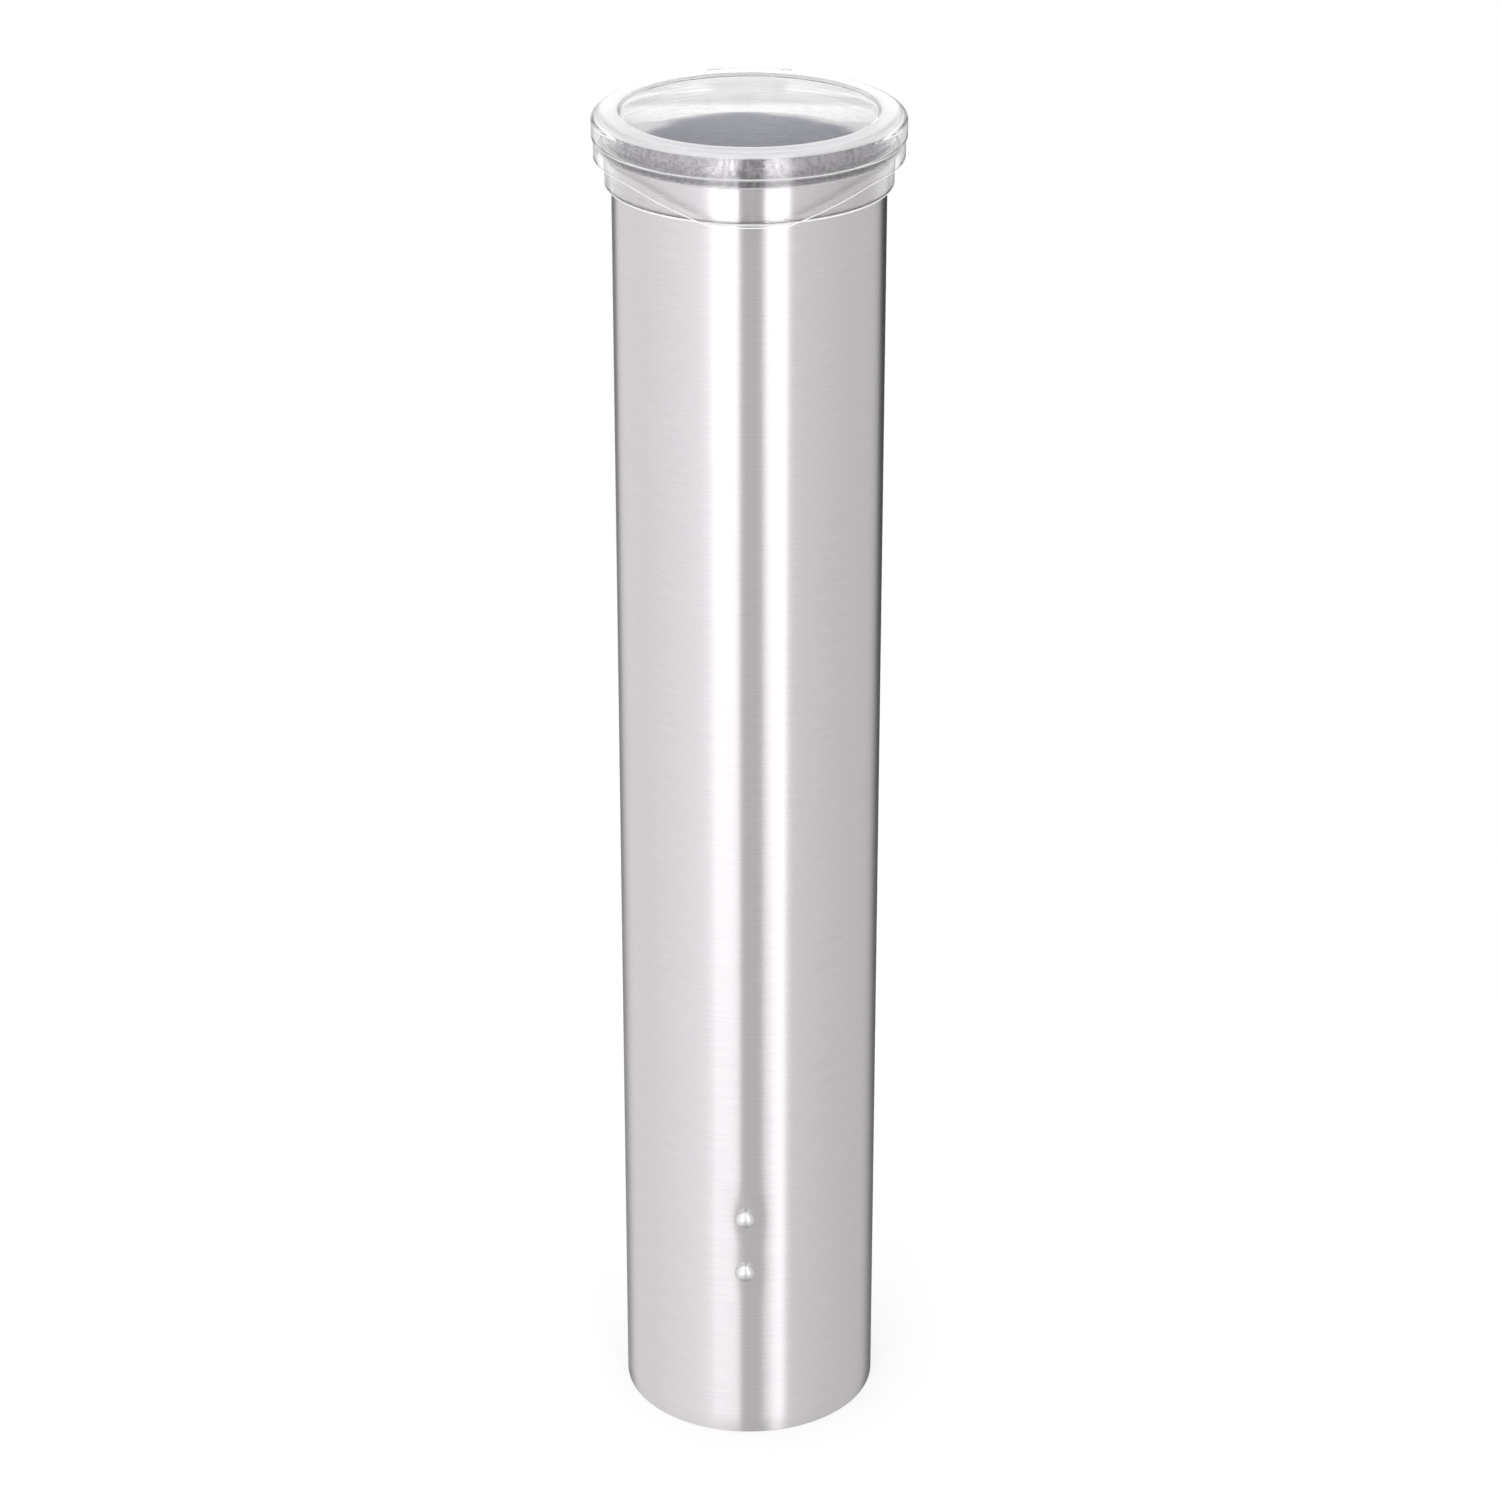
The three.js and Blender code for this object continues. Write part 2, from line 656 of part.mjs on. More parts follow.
function piece(name, solid, material) {
  const mesh = new THREE.Mesh(geometryOf(solid), material);
  mesh.name = name;
  return mesh;
}

const dispenser = new THREE.Group();

// The origin is under the middle of the whole part, between the lid's front and the wall.
dispenser.position.set(0, (rimOuter - wallY) / 2, 0);

dispenser.add(piece('tube', tubeSolid(), brushedSteel()));
dispenser.add(piece('collar', collarSolid(), clearPlastic()));

// The lid turns about the hinge pin.
const hinge = new THREE.Group();
hinge.position.set(0, hingeY, hingeZ);
hinge.add(piece('hinge_pin', pinSolid(), brightSteel()));
const lid = piece('lid', lidSolid(), clearPlastic());
lid.position.set(0, -hingeY, -hingeZ);
hinge.add(lid);
dispenser.add(hinge);

FINGER_NAMES.forEach((name, i) => {
  const station = new THREE.Group();
  station.rotation.z = fingerAngles[i];
  station.add(piece(`finger_${name}_pad`, padSolid(), milkyPlastic()));
  station.add(piece(`finger_${name}_blade`, bladeSolid(), milkyPlastic()));
  station.add(piece(`backing_plate_${name}`, plateSolid(), brushedSteel()));
  ['lower', 'upper'].forEach((level, row) => {
    const rivet = piece(`rivet_${name}_${level}`, fingerRivetSolid(), brightSteel());
    rivet.position.z = rivetHeights[row];
    station.add(rivet);
  });
  dispenser.add(station);
});

dispenser.add(piece('bracket', bracketSolid(), brushedSteel()));
['right', 'left'].forEach((name, i) => {
  const side = new THREE.Group();
  side.rotation.z = bracketRivetAngles[i];
  ['lower', 'upper'].forEach((level, row) => {
    const rivet = piece(`bracket_rivet_${name}_${level}`, bracketRivetSolid(), brightSteel());
    rivet.position.z = bracketRivetHeights[row];
    side.add(rivet);
  });
  dispenser.add(side);
});

export default dispenser;
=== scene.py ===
import math

import bmesh
import bpy
from mathutils import Matrix, Vector


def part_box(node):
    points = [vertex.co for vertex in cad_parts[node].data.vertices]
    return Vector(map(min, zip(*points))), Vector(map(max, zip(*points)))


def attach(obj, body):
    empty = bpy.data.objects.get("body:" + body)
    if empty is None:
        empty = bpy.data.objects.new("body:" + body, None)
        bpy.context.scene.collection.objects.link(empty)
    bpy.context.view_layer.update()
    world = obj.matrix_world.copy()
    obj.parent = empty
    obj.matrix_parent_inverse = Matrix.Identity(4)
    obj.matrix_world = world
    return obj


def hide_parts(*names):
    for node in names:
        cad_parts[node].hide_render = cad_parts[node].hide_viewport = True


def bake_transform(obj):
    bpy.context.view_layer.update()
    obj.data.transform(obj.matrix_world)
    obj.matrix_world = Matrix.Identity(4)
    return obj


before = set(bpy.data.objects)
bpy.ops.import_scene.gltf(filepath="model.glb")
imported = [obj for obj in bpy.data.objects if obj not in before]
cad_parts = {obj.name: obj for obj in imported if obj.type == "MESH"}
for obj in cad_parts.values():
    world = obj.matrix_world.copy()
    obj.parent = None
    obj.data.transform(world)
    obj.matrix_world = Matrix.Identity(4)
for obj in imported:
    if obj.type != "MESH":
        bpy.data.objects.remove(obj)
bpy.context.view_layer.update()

MM = 0.001

# Viewpoint
# The camera stands in front of the tube and above it, and looks down so that the lid's top
# and the whole front show. Its distances are measured from the foot of the tube's axis.
CAMERA_DISTANCE = 1102.9 * MM
CAMERA_HEIGHT = 723.8 * MM
CAMERA_SIDE = 0.2 * MM
CAMERA_PITCH = math.radians(24.892)
LENS_MM = 99.785
SENSOR_MM = 36

tube_low, tube_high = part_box("tube")
axis_y = (tube_low.y + tube_high.y) / 2
camera = bpy.data.objects.new("camera", bpy.data.cameras.new("camera"))
bpy.context.scene.collection.objects.link(camera)
camera.data.lens = LENS_MM
camera.data.sensor_width = SENSOR_MM
camera.location = (CAMERA_SIDE, axis_y - CAMERA_DISTANCE, CAMERA_HEIGHT)
camera.rotation_euler = (math.pi / 2 - CAMERA_PITCH, 0, 0)
bpy.context.scene.camera = camera
bpy.context.scene.view_settings.view_transform = "Standard"

# Studio
# A white room with a tall softbox on each side of the camera, a paler wall on the left than
# on the right, and a dark screen behind each side, which draws the dark edges on the steel.
# A tone is set by its turn to the right of the camera, seen from above, once for the level
# of the object and once for low down, where the softboxes end. The tones were fitted by trial
# to the reflections in the photograph. Above the object's level the room behind it is a white
# backdrop with a shaded ceiling over it, which the lid's top shows, and clear plastic is looked
# through to plain white behind the object and steeply below it.
STUDIO_TONES = [
    (-180, 1.00, 1.00), (-173, 0.80, 0.95), (-168, 0.50, 0.50), (-164, 0.16, 0.12),
    (-152, 0.16, 0.10), (-148, 0.60, 0.12), (-143, 1.02, 0.80), (-136, 1.03, 0.99),
    (-100, 1.04, 1.00), (-60, 1.20, 1.13), (-42, 1.28, 1.18), (-33, 1.55, 1.15),
    (-29, 2.3, 1.00), (-9, 2.3, 0.95), (-7, 0.63, 0.65), (2, 0.73, 0.72), (10, 0.65, 0.66),
    (14, 2.2, 0.60), (18, 2.4, 0.50), (23, 2.4, 1.00), (30, 2.4, 1.50), (34, 1.02, 0.94),
    (50, 0.95, 0.90), (80, 0.86, 0.82), (130, 0.76, 0.74), (140, 0.60, 0.55),
    (146, 0.05, 0.05), (169, 0.05, 0.12), (175, 0.05, 0.50), (179, 0.95, 0.95),
    (180, 1.0, 1.0),
]
BRIGHTEST_TONE = 3.0
WALL_TINT = (1.0, 0.98, 1.0)
LEVEL_FROM = -0.50
LEVEL_TO = -0.36
CEILING_TONE = 1.15
CEILING_FROM = 0.62
CEILING_TO = 0.9
GROUND_TONE = 0.5
GROUND_FROM = -0.8
GROUND_TO = -0.98
BACK_FROM = 1.9
BACK_TO = 2.2
THROUGH_FROM = 0.1
THROUGH_TO = 0.2
DOWN_FROM = -0.6
DOWN_TO = -0.75
BACKDROP_TONE = 2.4
BACKDROP_FROM = -0.02
BACKDROP_TO = 0.04
BACKDROP_TOP = 0.279
BACKDROP_EDGE = 0.0006
BACKDROP_BOW = 5.8
BOW_REACH = 0.12
BACKDROP_REACH = 0.2
SHADE = (0.85, 0.87, 0.97)
SCREEN_TOP_FROM = 0.1
SCREEN_TOP_TO = 0.3
SIDE_FROM = 1.7
SIDE_TO = 2.2
BOUNCES = 32


def wire(tree, value, socket):
    """Joins an output to a socket, or sets the socket to a plain value."""
    if isinstance(value, bpy.types.NodeSocket):
        tree.links.new(value, socket)
    else:
        socket.default_value = value


def calc(tree, operation, *values):
    """One sum on numbers or outputs."""
    made = tree.nodes.new("ShaderNodeMath")
    made.operation = operation
    for value, socket in zip(values, made.inputs):
        wire(tree, value, socket)
    return made.outputs[0]


def fade(tree, value, start, end, low=0.0, high=1.0):
    """Goes smoothly from low to high as the value goes from start to end."""
    made = tree.nodes.new("ShaderNodeMapRange")
    made.interpolation_type = "SMOOTHSTEP"
    for socket, number in zip(made.inputs, (value, start, end, low, high)):
        wire(tree, number, socket)
    return made.outputs[0]


def ramp(tree, value, stops):
    """A run of colours along 0 to 1, from (place, colour) pairs."""
    made = tree.nodes.new("ShaderNodeValToRGB")
    marks = made.color_ramp.elements
    while len(marks) < len(stops):
        marks.new(1)
    for mark, (place, colour) in zip(marks, stops):
        mark.position = place
        mark.color = (*colour, 1)
    wire(tree, value, made.inputs[0])
    return made.outputs[0]


def mix_colours(tree, share, first, second):
    """Goes from the first colour to the second as the share goes from 0 to 1."""
    made = tree.nodes.new("ShaderNodeMix")
    made.data_type = "RGBA"
    for name, value in (("Factor_Float", share), ("A_Color", first), ("B_Color", second)):
        socket = next(s for s in made.inputs if s.identifier == name)
        wire(tree, (*value, 1) if isinstance(value, tuple) else value, socket)
    return next(s for s in made.outputs if s.identifier == "Result_Color")


def parts_of(tree, vector):
    """The X, Y and Z outputs of a vector."""
    made = tree.nodes.new("ShaderNodeSeparateXYZ")
    wire(tree, vector, made.inputs[0])
    return made.outputs[:]


def grey(tone):
    return tuple([tone / BRIGHTEST_TONE] * 3)


def room_ramp(tree, place, column):
    """The walls' tones at one level, from a column of the list of tones."""
    return ramp(tree, place, [
        ((row[0] + 180) / 360, [tint * row[column] / BRIGHTEST_TONE for tint in WALL_TINT])
        for row in STUDIO_TONES
    ])


world = bpy.data.worlds.new("studio")
bpy.context.scene.world = world
world.use_nodes = True
tree = world.node_tree
tree.nodes.clear()
right, back, up = parts_of(tree, tree.nodes.new("ShaderNodeTexCoord").outputs["Generated"])
turn = calc(tree, "ARCTAN2", right, calc(tree, "MULTIPLY", back, -1.0))
place = calc(tree, "MULTIPLY_ADD", turn, 1 / (2 * math.pi), 0.5)
level = fade(tree, up, LEVEL_FROM, LEVEL_TO)
walls = mix_colours(tree, level, room_ramp(tree, place, 2), room_ramp(tree, place, 1))
aside = calc(tree, "SUBTRACT", math.pi, calc(tree, "ABSOLUTE", turn))
over_screens = calc(
    tree, "MULTIPLY", fade(tree, calc(tree, "ABSOLUTE", turn), SIDE_FROM, SIDE_TO),
    fade(tree, up, SCREEN_TOP_FROM, SCREEN_TOP_TO),
)
walls = mix_colours(tree, over_screens, walls, grey(CEILING_TONE))
bow = calc(tree, "POWER", calc(tree, "MINIMUM", aside, BOW_REACH), 2.0)
edge = calc(tree, "MULTIPLY_ADD", bow, BACKDROP_BOW, BACKDROP_TOP)
over_edge = fade(tree, calc(tree, "SUBTRACT", up, edge), -BACKDROP_EDGE, BACKDROP_EDGE)
shade = tuple(tone / BRIGHTEST_TONE for tone in SHADE)
backdrop = mix_colours(tree, over_edge, grey(BACKDROP_TONE), shade)
backdrop_share = calc(
    tree, "MULTIPLY", fade(tree, aside, BACKDROP_REACH, BOW_REACH),
    fade(tree, up, BACKDROP_FROM, BACKDROP_TO),
)
walls = mix_colours(tree, backdrop_share, walls, backdrop)
with_ceiling = mix_colours(tree, fade(tree, up, CEILING_FROM, CEILING_TO), walls, grey(CEILING_TONE))
with_ground = mix_colours(tree, fade(tree, up, GROUND_FROM, GROUND_TO), with_ceiling, grey(GROUND_TONE))
room = tree.nodes.new("ShaderNodeBackground")
wire(tree, with_ground, room.inputs["Color"])
room.inputs["Strength"].default_value = BRIGHTEST_TONE
white = tree.nodes.new("ShaderNodeBackground")
white.inputs["Color"].default_value = (1, 1, 1, 1)
paths = tree.nodes.new("ShaderNodeLightPath").outputs
white_behind = calc(
    tree, "MULTIPLY", fade(tree, calc(tree, "ABSOLUTE", turn), BACK_FROM, BACK_TO),
    fade(tree, up, THROUGH_TO, THROUGH_FROM),
)
white_around = calc(tree, "MAXIMUM", white_behind, fade(tree, up, DOWN_FROM, DOWN_TO))
through = calc(tree, "MULTIPLY", paths["Is Transmission Ray"], white_around)
seen = tree.nodes.new("ShaderNodeMixShader")
wire(tree, calc(tree, "MAXIMUM", paths["Is Camera Ray"], through), seen.inputs[0])
wire(tree, room.outputs[0], seen.inputs[1])
wire(tree, white.outputs[0], seen.inputs[2])
wire(tree, seen.outputs[0], tree.nodes.new("ShaderNodeOutputWorld").inputs[0])

# Light crosses many faces of clear plastic, one inside another, before it comes out again.
light_paths = bpy.context.scene.cycles
light_paths.max_bounces = BOUNCES
light_paths.transmission_bounces = BOUNCES
light_paths.glossy_bounces = BOUNCES

# Floor
# A white sweep that the tube stands on. It keeps the soft shadow round the foot, and its own
# white takes it over into the background. Seen from below it lets the view through.
FLOOR_HALF = 3.0
FLOOR_DROP = 0.05 * MM
FLOOR_COLOUR = 0.45
FLOOR_GLOW = 0.54
SWEEP_FROM = 0.16
SWEEP_TO = 0.42


def mesh_piece(name, points, faces):
    """A new object, from points measured from the foot of the tube's axis."""
    mesh = bpy.data.meshes.new(name)
    mesh.from_pydata([(x, y + axis_y, z) for x, y, z in points], [], faces)
    mesh.update()
    piece = bpy.data.objects.new(name, mesh)
    bpy.context.scene.collection.objects.link(piece)
    return piece


def new_material(name):
    """An empty node material, its tree and its surface socket."""
    material = bpy.data.materials.new(name)
    material.use_nodes = True
    tree = material.node_tree
    tree.nodes.clear()
    return material, tree, tree.nodes.new("ShaderNodeOutputMaterial").inputs["Surface"]


def mix_shaders(tree, share, first, second):
    """Goes from the first shader to the second as the share goes from 0 to 1."""
    made = tree.nodes.new("ShaderNodeMixShader")
    for value, socket in zip((share, first, second), made.inputs):
        wire(tree, value, socket)
    return made.outputs[0]


def glow(tree, strength):
    """Plain white light of a given strength."""
    made = tree.nodes.new("ShaderNodeEmission")
    made.inputs["Strength"].default_value = strength
    return made.outputs[0]


corners = [(-1, -1), (1, -1), (1, 1), (-1, 1)]
floor = mesh_piece(
    "floor",
    [(x * FLOOR_HALF, y * FLOOR_HALF, tube_low.z - FLOOR_DROP) for x, y in corners],
    [(0, 1, 2, 3)],
)
floor_white, tree, surface = new_material("floor_white")
geometry = tree.nodes.new("ShaderNodeNewGeometry")
across, along, _ = parts_of(tree, geometry.outputs["Position"])
reach = calc(tree, "SQRT", calc(
    tree, "ADD",
    calc(tree, "MULTIPLY", across, across),
    calc(tree, "MULTIPLY", along, along),
))
matt = tree.nodes.new("ShaderNodeBsdfDiffuse")
matt.inputs["Color"].default_value = (FLOOR_COLOUR, FLOOR_COLOUR, FLOOR_COLOUR, 1)
lit = tree.nodes.new("ShaderNodeAddShader")
wire(tree, matt.outputs[0], lit.inputs[0])
wire(tree, glow(tree, FLOOR_GLOW), lit.inputs[1])
from_above = mix_shaders(tree, fade(tree, reach, SWEEP_FROM, SWEEP_TO), lit.outputs[0], glow(tree, 1.0))
from_below = tree.nodes.new("ShaderNodeBsdfTransparent").outputs[0]
wire(tree, mix_shaders(tree, geometry.outputs["Backfacing"], from_above, from_below), surface)
floor.data.materials.append(floor_white)
floor.visible_glossy = False
floor.visible_transmission = False

# Tube
# Thin stainless sheet, rolled, butt-welded up the back and brushed round its girth. The
# rivets of the fingers draw the sheet in a little where they clamp it.
SIDES = 288
TUBE_WALL = 0.6 * MM
TUBE_EDGE_ROUND = 0.2 * MM
TUBE_ROW = 6 * MM
DENT_ROW = 0.8 * MM
RIVET_HEIGHTS = (57 * MM, 75.5 * MM)
RIVET_DENTS = (0.09 * MM, 0.22 * MM)
RIVET_SHANK = 1.6 * MM
DENT_ACROSS = 4.6 * MM
DENT_ALONG = 7.5 * MM
DENT_REACH = 22 * MM
PAD_DENT = 0.06 * MM
PAD_ACROSS = 6.5 * MM
FINGER_TURNS = {"front": -1.9, "right": 118.1, "left": 238.1}
HOLE_GAP = 0.2 * MM
HOLE_SIDES = 32
WELD_HALF_DEGREES = 0.9
TUBE_SMOOTH_DEGREES = 32
MERGE_WITHIN = 0.0001 * MM

tube_radius = (tube_high.x - tube_low.x) / 2
bore_radius = tube_radius - TUBE_WALL
tube_height = tube_high.z


def corner_arc(before, corner, after, radius, steps):
    """The points that round one corner of an outline."""
    corner = Vector(corner)
    towards = (Vector(before) - corner).normalized()
    onwards = (Vector(after) - corner).normalized()
    half = towards.angle(onwards) / 2
    centre = corner + (towards + onwards).normalized() * (radius / math.sin(half))
    start = corner + towards * (radius / math.tan(half)) - centre
    crossed = towards.x * onwards.y - towards.y * onwards.x
    sweep = math.copysign(math.pi - 2 * half, -crossed)
    points = []
    for step in range(steps + 1):
        angle = sweep * step / steps
        points.append((
            centre.x + start.x * math.cos(angle) - start.y * math.sin(angle),
            centre.y + start.x * math.sin(angle) + start.y * math.cos(angle),
        ))
    return points


def rounded(corners, steps=6):
    """An outline from (across, up) and (across, up, radius) corners, the latter rounded."""
    points = []
    for i, (x, y, *radius) in enumerate(corners):
        if radius:
            before = corners[i - 1][:2]
            after = corners[(i + 1) % len(corners)][:2]
            points += corner_arc(before, (x, y), after, radius[0], steps)
        else:
            points.append((x, y))
    return points


def dense(line, step):
    """A line with points added until none are further apart than one step."""
    points = [Vector(line[0])]
    for end in line[1:]:
        start = points[-1]
        count = max(1, math.ceil((Vector(end) - start).length / step))
        points += [start.lerp(Vector(end), i / count) for i in range(1, count + 1)]
    return [tuple(point) for point in points]


def tidy_mesh(piece):
    """Joins points that meet, drops what has no area and turns every face outwards."""
    shape = bmesh.new()
    shape.from_mesh(piece.data)
    bmesh.ops.remove_doubles(shape, verts=shape.verts, dist=MERGE_WITHIN)
    bmesh.ops.dissolve_degenerate(shape, edges=shape.edges, dist=MERGE_WITHIN)
    bmesh.ops.recalc_face_normals(shape, faces=shape.faces)
    shape.to_mesh(piece.data)
    shape.free()
    return piece


def lathe(name, outline, sides=SIDES, place=Matrix()):
    """Turns an outline of (radius, height) points about the tube's axis or about another."""
    count = len(outline)
    points = []
    for i in range(sides):
        angle = 2 * math.pi * i / sides
        points += [place @ Vector((r * math.sin(angle), -r * math.cos(angle), z)) for r, z in outline]
    faces = []
    for i in range(sides):
        this, following = i * count, (i + 1) % sides * count
        for j in range(count):
            k = (j + 1) % count
            if outline[j][0] or outline[k][0]:
                faces.append((this + j, this + k, following + k, following + j))
    return tidy_mesh(mesh_piece(name, points, faces))


def station(degrees, height=0):
    """The place on the tube at this turn and height, with Z out of the wall and Y up."""
    outwards = Matrix.Rotation(math.radians(degrees), 4, "Z") @ Matrix.Rotation(math.pi / 2, 4, "X")
    return Matrix.Translation((0, 0, height)) @ outwards


def combine(piece, operation, *others):
    """Joins other solids to a piece, or cuts them out of it, or keeps what they share."""
    for other in others:
        step = piece.modifiers.new(operation, "BOOLEAN")
        step.operation = operation
        step.solver = "EXACT"
        step.object = other
    made = piece.evaluated_get(bpy.context.evaluated_depsgraph_get())
    mesh = bpy.data.meshes.new_from_object(made)
    piece.modifiers.clear()
    piece.data = mesh
    for other in others:
        bpy.data.objects.remove(other)
    return tidy_mesh(piece)


def smooth(piece, degrees=20):
    """Shades round surfaces smoothly and keeps the edges that are sharper than this."""
    piece.data.shade_smooth()
    piece.data.set_sharp_from_angle(angle=math.radians(degrees))
    return piece


def dress(piece, material, slot, *nodes):
    """Gives a piece its material and hides the solids that it stands for. The slot is not used."""
    piece.data.materials.clear()
    piece.data.materials.append(material)
    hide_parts(*nodes)
    return piece


def object_place(tree):
    """The X, Y and Z of a point on the piece."""
    return parts_of(tree, tree.nodes.new("ShaderNodeTexCoord").outputs["Object"])


def joined(tree, *values):
    """A vector from its parts."""
    made = tree.nodes.new("ShaderNodeCombineXYZ")
    for value, socket in zip(values, made.inputs):
        wire(tree, value, socket)
    return made.outputs[0]


def girth(tree):
    """The turn round the tube from its front, in radians."""
    across, along, _ = object_place(tree)
    return calc(tree, "ARCTAN2", across, calc(tree, "SUBTRACT", axis_y, along))


def girth_place(tree, per_round, per_up):
    """A texture place that runs round the tube and up it."""
    height = object_place(tree)[2]
    return joined(
        tree, calc(tree, "MULTIPLY", girth(tree), tube_radius * per_round),
        calc(tree, "MULTIPLY", height, per_up),
    )


def noise(tree, place, scale=1.0, detail=3.0, roughness=0.6):
    """Cloudy noise from 0 to 1."""
    made = tree.nodes.new("ShaderNodeTexNoise")
    wire(tree, place, made.inputs["Vector"])
    made.inputs["Scale"].default_value = scale
    made.inputs["Detail"].default_value = detail
    made.inputs["Roughness"].default_value = roughness
    return made.outputs[0]


def relief(tree, height, depth, under=None):
    """Bumps of this depth, in metres, on top of others if they are given."""
    made = tree.nodes.new("ShaderNodeBump")
    made.inputs["Distance"].default_value = depth
    wire(tree, height, made.inputs["Height"])
    if under is not None:
        wire(tree, under, made.inputs["Normal"])
    return made.outputs[0]


def principled(tree, surface, **values):
    """The main shader, with its sockets set or joined by name."""
    made = tree.nodes.new("ShaderNodeBsdfPrincipled")
    for name, value in values.items():
        value = (*value, 1) if isinstance(value, tuple) else value
        wire(tree, value, made.inputs[name.replace("_", " ")])
    wire(tree, made.outputs[0], surface)
    return made


# Brushed steel: short strokes round the girth, with faint cloudy patches left by the belt.
STROKES_PER_ROUND = 60
STROKES_PER_UP = 1500
STROKE_DEPTH = 0.0035 * MM
PATCHES_PER_ROUND = 14
PATCHES_PER_UP = 60
STEEL_DARK = (0.615, 0.602, 0.61)
STEEL_LIGHT = (0.655, 0.642, 0.65)
STROKES_FROM = 0.3
STROKES_TO = 0.7
STEEL_ROUGHNESS = 0.22
PATCH_DULLING = 0.04
STROKE_DULLING = 0.06
WELD_COLOUR = (0.52, 0.50, 0.49)
WELD_SHARE = 0.35

brushed_steel, tree, surface = new_material("tube_brushed_steel")
strokes = noise(tree, girth_place(tree, STROKES_PER_ROUND, STROKES_PER_UP), detail=4.0, roughness=0.7)
patches = noise(tree, girth_place(tree, PATCHES_PER_ROUND, PATCHES_PER_UP), detail=2.0)
weld_from = math.pi - math.radians(WELD_HALF_DEGREES)
weld = fade(tree, calc(tree, "ABSOLUTE", girth(tree)), weld_from, math.pi)
streaks = fade(tree, strokes, STROKES_FROM, STROKES_TO)
colour = mix_colours(tree, streaks, STEEL_DARK, STEEL_LIGHT)
colour = mix_colours(tree, calc(tree, "MULTIPLY", weld, WELD_SHARE), colour, WELD_COLOUR)
gloss = calc(tree, "MULTIPLY_ADD", patches, PATCH_DULLING, STEEL_ROUGHNESS)
gloss = calc(tree, "MULTIPLY_ADD", strokes, STROKE_DULLING, gloss)
grain = tree.nodes.new("ShaderNodeTangent")
grain.direction_type = "RADIAL"
grain.axis = "Z"
principled(
    tree, surface, Base_Color=colour, Metallic=1.0, Roughness=gloss, Anisotropic=0.95,
    Anisotropic_Rotation=0.25, Tangent=grain.outputs[0], Normal=relief(tree, strokes, STROKE_DEPTH),
)

dent_low = RIVET_HEIGHTS[0] - DENT_REACH
dent_high = RIVET_HEIGHTS[1] + DENT_REACH
wall_line = [
    *dense([(tube_radius, TUBE_EDGE_ROUND), (tube_radius, dent_low)], TUBE_ROW),
    *dense([(tube_radius, dent_low), (tube_radius, dent_high)], DENT_ROW)[1:],
    *dense([(tube_radius, dent_high), (tube_radius, tube_height - TUBE_EDGE_ROUND)], TUBE_ROW)[1:],
]
foot_edge = rounded([
    (tube_radius, tube_height),
    (bore_radius, tube_height),
    (bore_radius, 0, TUBE_EDGE_ROUND),
    (tube_radius, 0, TUBE_EDGE_ROUND),
], steps=3)[2:]
tube_outline = [
    *foot_edge[:-1],
    *wall_line,
    *[(r, tube_height - z) for r, z in reversed(foot_edge[:-1])],
    *[(bore_radius, z) for _, z in reversed(wall_line[1:-1])],
]
tube = lathe("tube_sheet", tube_outline)


def dent(angle, height):
    """How far the rivets draw the sheet in at this place."""
    depth = 0
    for degrees in FINGER_TURNS.values():
        away = (angle - math.radians(degrees) + math.pi) % (2 * math.pi) - math.pi
        across = away * tube_radius
        for rivet_height, rivet_dent in zip(RIVET_HEIGHTS, RIVET_DENTS):
            along = (height - rivet_height) / DENT_ALONG
            depth += rivet_dent * math.exp(-(across / DENT_ACROSS) ** 2 - along ** 2)
        past = max(RIVET_HEIGHTS[0] - height, 0, height - RIVET_HEIGHTS[1]) / DENT_ALONG
        depth += PAD_DENT * math.exp(-(across / PAD_ACROSS) ** 2 - past ** 2)
    return depth


for vertex in tube.data.vertices:
    if dent_low <= vertex.co.z <= dent_high:
        out = Vector((vertex.co.x, vertex.co.y - axis_y))
        angle = math.atan2(out.x, -out.y)
        out *= 1 - dent(angle, vertex.co.z) / out.length
        vertex.co.x, vertex.co.y = out.x, out.y + axis_y


def rivet_hole(degrees, height, shank):
    """A cutter for one round hole through the wall."""
    radius = shank + HOLE_GAP
    depth = [(0, 0), (radius, 0), (radius, tube_radius * 2), (0, tube_radius * 2)]
    return lathe("hole", depth, HOLE_SIDES, station(degrees, height))


finger_holes = [
    rivet_hole(degrees, height, RIVET_SHANK)
    for degrees in FINGER_TURNS.values() for height in RIVET_HEIGHTS
]
combine(tube, "DIFFERENCE", *finger_holes)
smooth(tube, TUBE_SMOOTH_DEGREES)
dress(tube, brushed_steel, "tube_steel", "tube")
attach(tube, "housing")

# Gripping fingers
# Three strips of milky, springy plastic inside the foot. Each is riveted to the wall at its
# upper half, bends inwards below a thin groove and ends in a rounded nose and a small hook.
FINGER_THICKNESS = 0.8 * MM
FINGER_WIDTH = 16 * MM
FINGER_TIP_WIDTH = 12 * MM
FINGER_ROUND = 3 * MM
FINGER_TOP = 85 * MM
FINGER_GAP = 0.3 * MM
FINGER_EDGE = 0.15 * MM
BEND_HEIGHT = 49 * MM
BEND_ROUND = 6 * MM
GROOVE_DEPTH = 0.25 * MM
GROOVE_HALF = 0.9 * MM
NOSE_RADIUS = 28 * MM
NOSE_HEIGHT = 25 * MM
NOSE_ROUND = 1.6 * MM
HOOK_LENGTH = 3 * MM
HOOK_REACH = 1.2 * MM
FINGER_ROW = 0.8 * MM
FINGER_SIDES = 360
BEVEL_DEGREES = 40

PLAN = Matrix(((1, 0, 0), (0, 1, 0), (0, 0, 1)))
SIDE = Matrix(((0, 0, 1), (1, 0, 0), (0, 1, 0)))
FRONT = Matrix(((1, 0, 0), (0, 0, 1), (0, 1, 0)))


